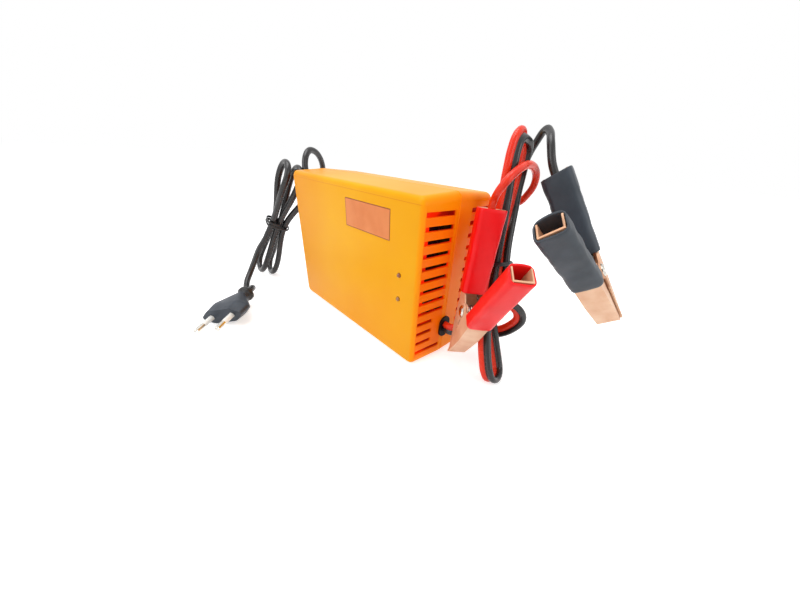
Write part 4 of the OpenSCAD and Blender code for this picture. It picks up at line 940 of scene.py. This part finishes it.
def sleeve(colour, handle, clamp, material):
    """The vinyl sleeve of the wire's handle or of the free one."""
    kind = f"{colour}_{handle}"
    mouth, bulge, slack = GRIPS[kind]
    bpy.ops.object.select_all(action="DESELECT")
    bpy.ops.mesh.primitive_cube_add(size=1, location=(0, 0, SLEEVE_L / 2 * MM))
    obj = bpy.context.object
    obj.name = kind + "_grip"
    obj.scale = (SLEEVE_OUT_X * MM, SLEEVE_OUT_Y * MM, SLEEVE_L * MM)
    settle(obj)
    edit(obj)
    pick(obj, "faces", lambda f: abs(f.normal.z) > 0.5)
    bpy.ops.mesh.delete(type="FACE")
    pick(obj, "edges", lambda e: rise(e) > SLEEVE_L * MM / 2)
    bpy.ops.mesh.bevel(offset=SLEEVE_CORNER * MM, segments=SLEEVE_STEPS, affect="EDGES")
    pick(obj, "edges", lambda e: rise(e) > SLEEVE_L * MM / 2)
    bpy.ops.mesh.subdivide(number_cuts=SLEEVE_RINGS)
    pick(obj, "edges", lambda e: rise(e) < SLEEVE_LEVEL * MM
         and e.calc_length() > SLEEVE_FLAT_SIDE * MM)
    bpy.ops.mesh.subdivide(number_cuts=SLEEVE_ACROSS)
    done()
    wave = bpy.data.textures.new(obj.name + "_wave", "CLOUDS")
    wave.noise_scale = SLEEVE_WAVE * MM
    m = obj.modifiers.new("slack", "DISPLACE")
    m.texture, m.strength, m.mid_level = wave, slack * MM, SLEEVE_INWARD
    m.texture_coords = "LOCAL"
    m = obj.modifiers.new("wall", "SOLIDIFY")
    m.thickness, m.offset, m.use_even_offset = SLEEVE_WALL * MM, -1, True
    m = obj.modifiers.new("rim", "BEVEL")
    m.width, m.segments, m.limit_method = SLEEVE_RIM * MM, 2, "ANGLE"
    m.angle_limit = math.radians(SLEEVE_SHARP)
    apply_modifiers(obj)
    smooth(obj, angle=SLEEVE_SHARP)
    fixed = handle == "wire"
    at_handle = handle_frame(clamp, fixed)
    settle(obj, at_handle)
    drawn_in(obj, at_handle, mouth, bulge)
    fit_out(obj, material, body="root" if fixed else colour + "_jaw",
            stands_for=(kind + "_sleeve",))
    print(obj.name, triangles(obj), "triangles")
    return obj


red_wire_grip = sleeve("red", "wire", RED_CLAMP, red_vinyl)
red_free_grip = sleeve("red", "free", RED_CLAMP, red_vinyl)
black_wire_grip = sleeve("black", "wire", BLACK_CLAMP, black_vinyl)
black_free_grip = sleeve("black", "free", BLACK_CLAMP, black_vinyl)

# %% [markdown]
# ## Jaws and springs
# The jaws are pressed sheet metal, and their cut edges are left plain. Each handle is drawn in
# like its sleeve.

# %% Jaws
for c, clamp in (("red", RED_CLAMP), ("black", BLACK_CLAMP)):
    for half_name, body in (("fixed", "root"), ("moving", c + "_jaw")):
        jaw = refined(f"{c}_{half_name}_plate", f"{c}_{half_name}_jaw", width=0)
        fixed = half_name == "fixed"
        drawn_in(jaw, handle_frame(clamp, fixed), GRIPS[c + ("_wire" if fixed else "_free")][0])
        fit_out(jaw, copper_plate, body=body,
                stands_for=(f"{c}_{half_name}_jaw",))

# %% [markdown]
# A spring is a wire wound round the rivet. One leg lies on each handle.

# %% Springs
SPRING_WIRE, SPRING_GAP, COIL_ROOM = 1.4, 0.15, 0.35
SPRING_COILS, SPRING_FROM, SPRING_POINTS = 4, 92, 49
SPRING_CURL = 360 * SPRING_COILS - 2 * (SPRING_FROM - 90)
SPRING_R = RIVET_D / 2 + SPRING_WIRE / 2 + COIL_ROOM
SPRING_Y = CHANNEL_W / 2 - HALF_SHIFT - SHEET_T - SPRING_WIRE / 2 - SPRING_GAP
LEG_S, BEND_S, BEND_N = 8, -2.6, -2.4


def spring(name, node, clamp):
    """A spring of wire round the rivet, with one leg on each handle."""
    bend = handle_xz(BEND_S, BEND_N)
    leg = handle_xz(LEG_S, CHANNEL_D / 2 - SHEET_T - SPRING_WIRE / 2 - SPRING_GAP)
    coil = [[SPRING_R * math.cos(math.radians(SPRING_FROM + SPRING_CURL * t)),
             SPRING_Y * (2 * t - 1),
             SPRING_R * math.sin(math.radians(SPRING_FROM + SPRING_CURL * t))]
            for t in np.linspace(0, 1, SPRING_POINTS)]
    points = [[leg[0], -SPRING_Y, leg[1]], [bend[0], -SPRING_Y, bend[1]], *coil,
              [-bend[0], SPRING_Y, bend[1]], [-leg[0], SPRING_Y, leg[1]]]
    obj = round_lead(name, carried(clamp, through(points, step=0.5)[0]), SPRING_WIRE)
    only(obj)
    bpy.ops.object.convert(target="MESH")
    obj = bpy.context.object
    fit_out(obj, spring_steel, body=None, stands_for=(node,))
    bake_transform(obj)
    print(name, triangles(obj), "triangles")


spring("red_coil", "red_spring", RED_CLAMP)
spring("black_coil", "black_spring", BLACK_CLAMP)

# %% [markdown]
# ## The plug
# The plug is a soft moulding, so its edges are rounder than the CAD block's.

# %% The plug's body
plug_moulding = refined("plug_moulding", "plug_body", width=0.35, angle=40, segments=3, shade=50)
fit_out(plug_moulding, plug_plastic, stands_for=("plug_body",))

# %% [markdown]
# ## Parts that keep their CAD shape
# Turned and pressed parts are exact in the CAD, so they only need their finish. Each one's
# material slot is filled with its own material.

# %% Finishes on the CAD nodes outside
def dress(names, material):
    """Gives each of those CAD nodes that material alone."""
    for name in names.split():
        slots = nodes[name].data.materials
        slots.clear()
        slots.append(material)
    print(names)


dress("label_plate", label_film)
dress("case_screws board_screws", finish(
    "screw_steel", "C8C8CC", "9C9CA2", (0.25, 0.45), patch=400, grain=3000, depth=0.006,
    Metallic=1.0))
dress("power_led", finish(
    "red_lens", "A8601E", "7A3A14", (0.08, 0.2), patch=600, depth=0.002, Coat_Weight=0.5))
dress("charge_led", finish(
    "green_lens", "B0742A", "86521C", (0.08, 0.2), patch=600, depth=0.002, Coat_Weight=0.5))
dress("mains_strain_relief output_gland", finish(
    "black_rubber", "0C0B0B", "070708", (0.4, 0.6), grain=1200, depth=0.02,
    Specular_IOR_Level=0.15))
dress("plug_pins red_rivet black_rivet", finish(
    "plug_nickel", "DEDBD4", "C8C4BC", (0.12, 0.28), patch=300, depth=0.003, Metallic=1.0))
dress("plug_pin_sleeves", finish(
    "pin_insulation", "F2F1EE", "E4E2DC", (0.3, 0.45), depth=0.006))

# %% [markdown]
# The pieces inside the case are seen only through its vents.

# %% Finishes on the CAD nodes inside
dress("indicator_board main_board", finish(
    "circuit_board", "2E7A45", "1C5A32", (0.25, 0.5), patch=160, grain=700, depth=0.02))
dress("indicator_wires", finish(
    "white_insulation", "E6E4DA", "D4D0C4", (0.3, 0.45), depth=0.006))
dress("mains_inner_wires", finish(
    "blue_insulation", "27479E", "1E3880", (0.3, 0.45), depth=0.006))
dress("output_inner_wires", red_insulation)
dress("transformer_core", finish(
    "ferrite", "3A3A3E", "2A2A2E", (0.5, 0.75), patch=200, grain=1500, depth=0.03))
black_plastic = finish("black_plastic", "1E1E21", "151517", (0.35, 0.6), depth=0.01)
dress("transformer_bobbin switching_transistor output_rectifier bridge_rectifier control_chip",
      black_plastic)
dress("transformer_winding", finish(
    "winding_tape", "F0CC3A", "E0B428", (0.2, 0.4), patch=120, grain=600, depth=0.02,
    stretch=0.1))
dress("mains_capacitor output_capacitors", finish(
    "capacitor_sleeve", "1A2340", "121830", (0.2, 0.35), depth=0.004))
dress("primary_heatsink output_heatsink", finish(
    "heatsink_aluminium", "C4C6CA", "A9ABB0", (0.3, 0.5), grain=1200, depth=0.01, stretch=0.1,
    Metallic=1.0))
dress("input_choke output_choke", finish(
    "choke_copper", "C2763A", "9C5424", (0.25, 0.45), patch=300, grain=1500, depth=0.03,
    Metallic=0.9))
dress("fuse", finish(
    "fuse_glass", "E6EEEE", "D6E0E0", (0.03, 0.1), depth=0.002, Transmission_Weight=0.8))
dress("fuse_clips", finish(
    "clip_brass", "D8C27A", "BBA050", (0.25, 0.4), patch=400, Metallic=1.0))
dress("filter_capacitor", finish("yellow_film", "E8C020", "D6A814", (0.15, 0.3), depth=0.006))

# %% [markdown]
# ## What the leads are
# Each lead's length is measured, and the lengths of all of them are added up.

length_of(mains_route)
length_of(twin_route)
length_of(red_route)
length_of(black_route)
print("leads in all, m:", round(sum(map(length_of, (
    mains_route, twin_route, red_route, black_route))), 3))

# %% [markdown]
# ## Floor and light
# The floor and the world are white to the camera and to mirrors, and plain soft lamps light
# the object from above and from the front.

# %% The floor
FLOOR_SIZE, FLOOR_WHITE, FLOOR_GLOW = 8, 0.86, 0.57


def seen_or_mirrored(tree):
    """1 for what the camera sees, also in a mirror or glass, and 0 for other light."""
    rays = add(tree, "LightPath").outputs
    return maths(tree, "MAXIMUM", rays["Is Camera Ray"],
                 maths(tree, "MAXIMUM", rays["Is Glossy Ray"], rays["Is Transmission Ray"]))


bpy.ops.object.select_all(action="DESELECT")
bpy.ops.mesh.primitive_plane_add(size=FLOOR_SIZE, location=(0, 0, 0))
floor = bpy.context.object
floor.name = "floor"
paper = bpy.data.materials.new("paper")
paper.use_nodes = True
paper_tree = paper.node_tree
white = paper_tree.nodes["Principled BSDF"]
white.inputs["Base Color"].default_value = (FLOOR_WHITE, FLOOR_WHITE, FLOOR_WHITE, 1)
white.inputs["Roughness"].default_value = 0.9
white.inputs["Specular IOR Level"].default_value = 0.0
seen_glow = times(paper_tree, seen_or_mirrored(paper_tree), FLOOR_GLOW)
glow = add(paper_tree, "Emission", {"Color": (1, 1, 1, 1), "Strength": seen_glow})
both = add(paper_tree, "AddShader", {0: white.outputs[0], 1: glow.outputs[0]})
paper_tree.links.new(both.outputs[0], paper_tree.nodes["Material Output"].inputs["Surface"])
floor.data.materials.append(paper)
print("floor", FLOOR_SIZE, "m wide")

# %% [markdown]
# The world is plain white. It is darker as a light than as a background.

# %% The world
AMBIENT = 0.5
world = bpy.data.worlds.new("world")
bpy.context.scene.world = world
world.use_nodes = True
sky = world.node_tree
level = maths(sky, "ADD", AMBIENT, times(sky, seen_or_mirrored(sky), 1 - AMBIENT))
sky.links.new(level, sky.nodes["Background"].inputs["Strength"])
sky.nodes["Background"].inputs["Color"].default_value = (1, 1, 1, 1)
print("ambient light", AMBIENT)

# %% [markdown]
# Three soft square lamps point at the middle of the case: a strong one above, one in front,
# and a weak one on the side of the clamps.

# %% The lamps
LAMP_AIM = Vector((0, 0, 0.06))


def lamp(name, at, size, power):
    """A square lamp of that size in metres and that power in watts."""
    data = bpy.data.lights.new(name, "AREA")
    data.size, data.energy = size, power
    obj = new_object(name, data)
    obj.location = at
    obj.rotation_mode = "QUATERNION"
    obj.rotation_quaternion = (LAMP_AIM - Vector(at)).to_track_quat("-Z", "Y")
    print(name, "lamp", power, "W")


lamp("overhead", (-0.15, -0.1, 1.1), size=0.8, power=6.8)
lamp("front", (-0.3, -1.0, 0.7), size=0.7, power=4.2)
lamp("side", (0.95, 0.1, 0.5), size=0.6, power=2.6)
bpy.context.scene.view_settings.view_transform = "Standard"
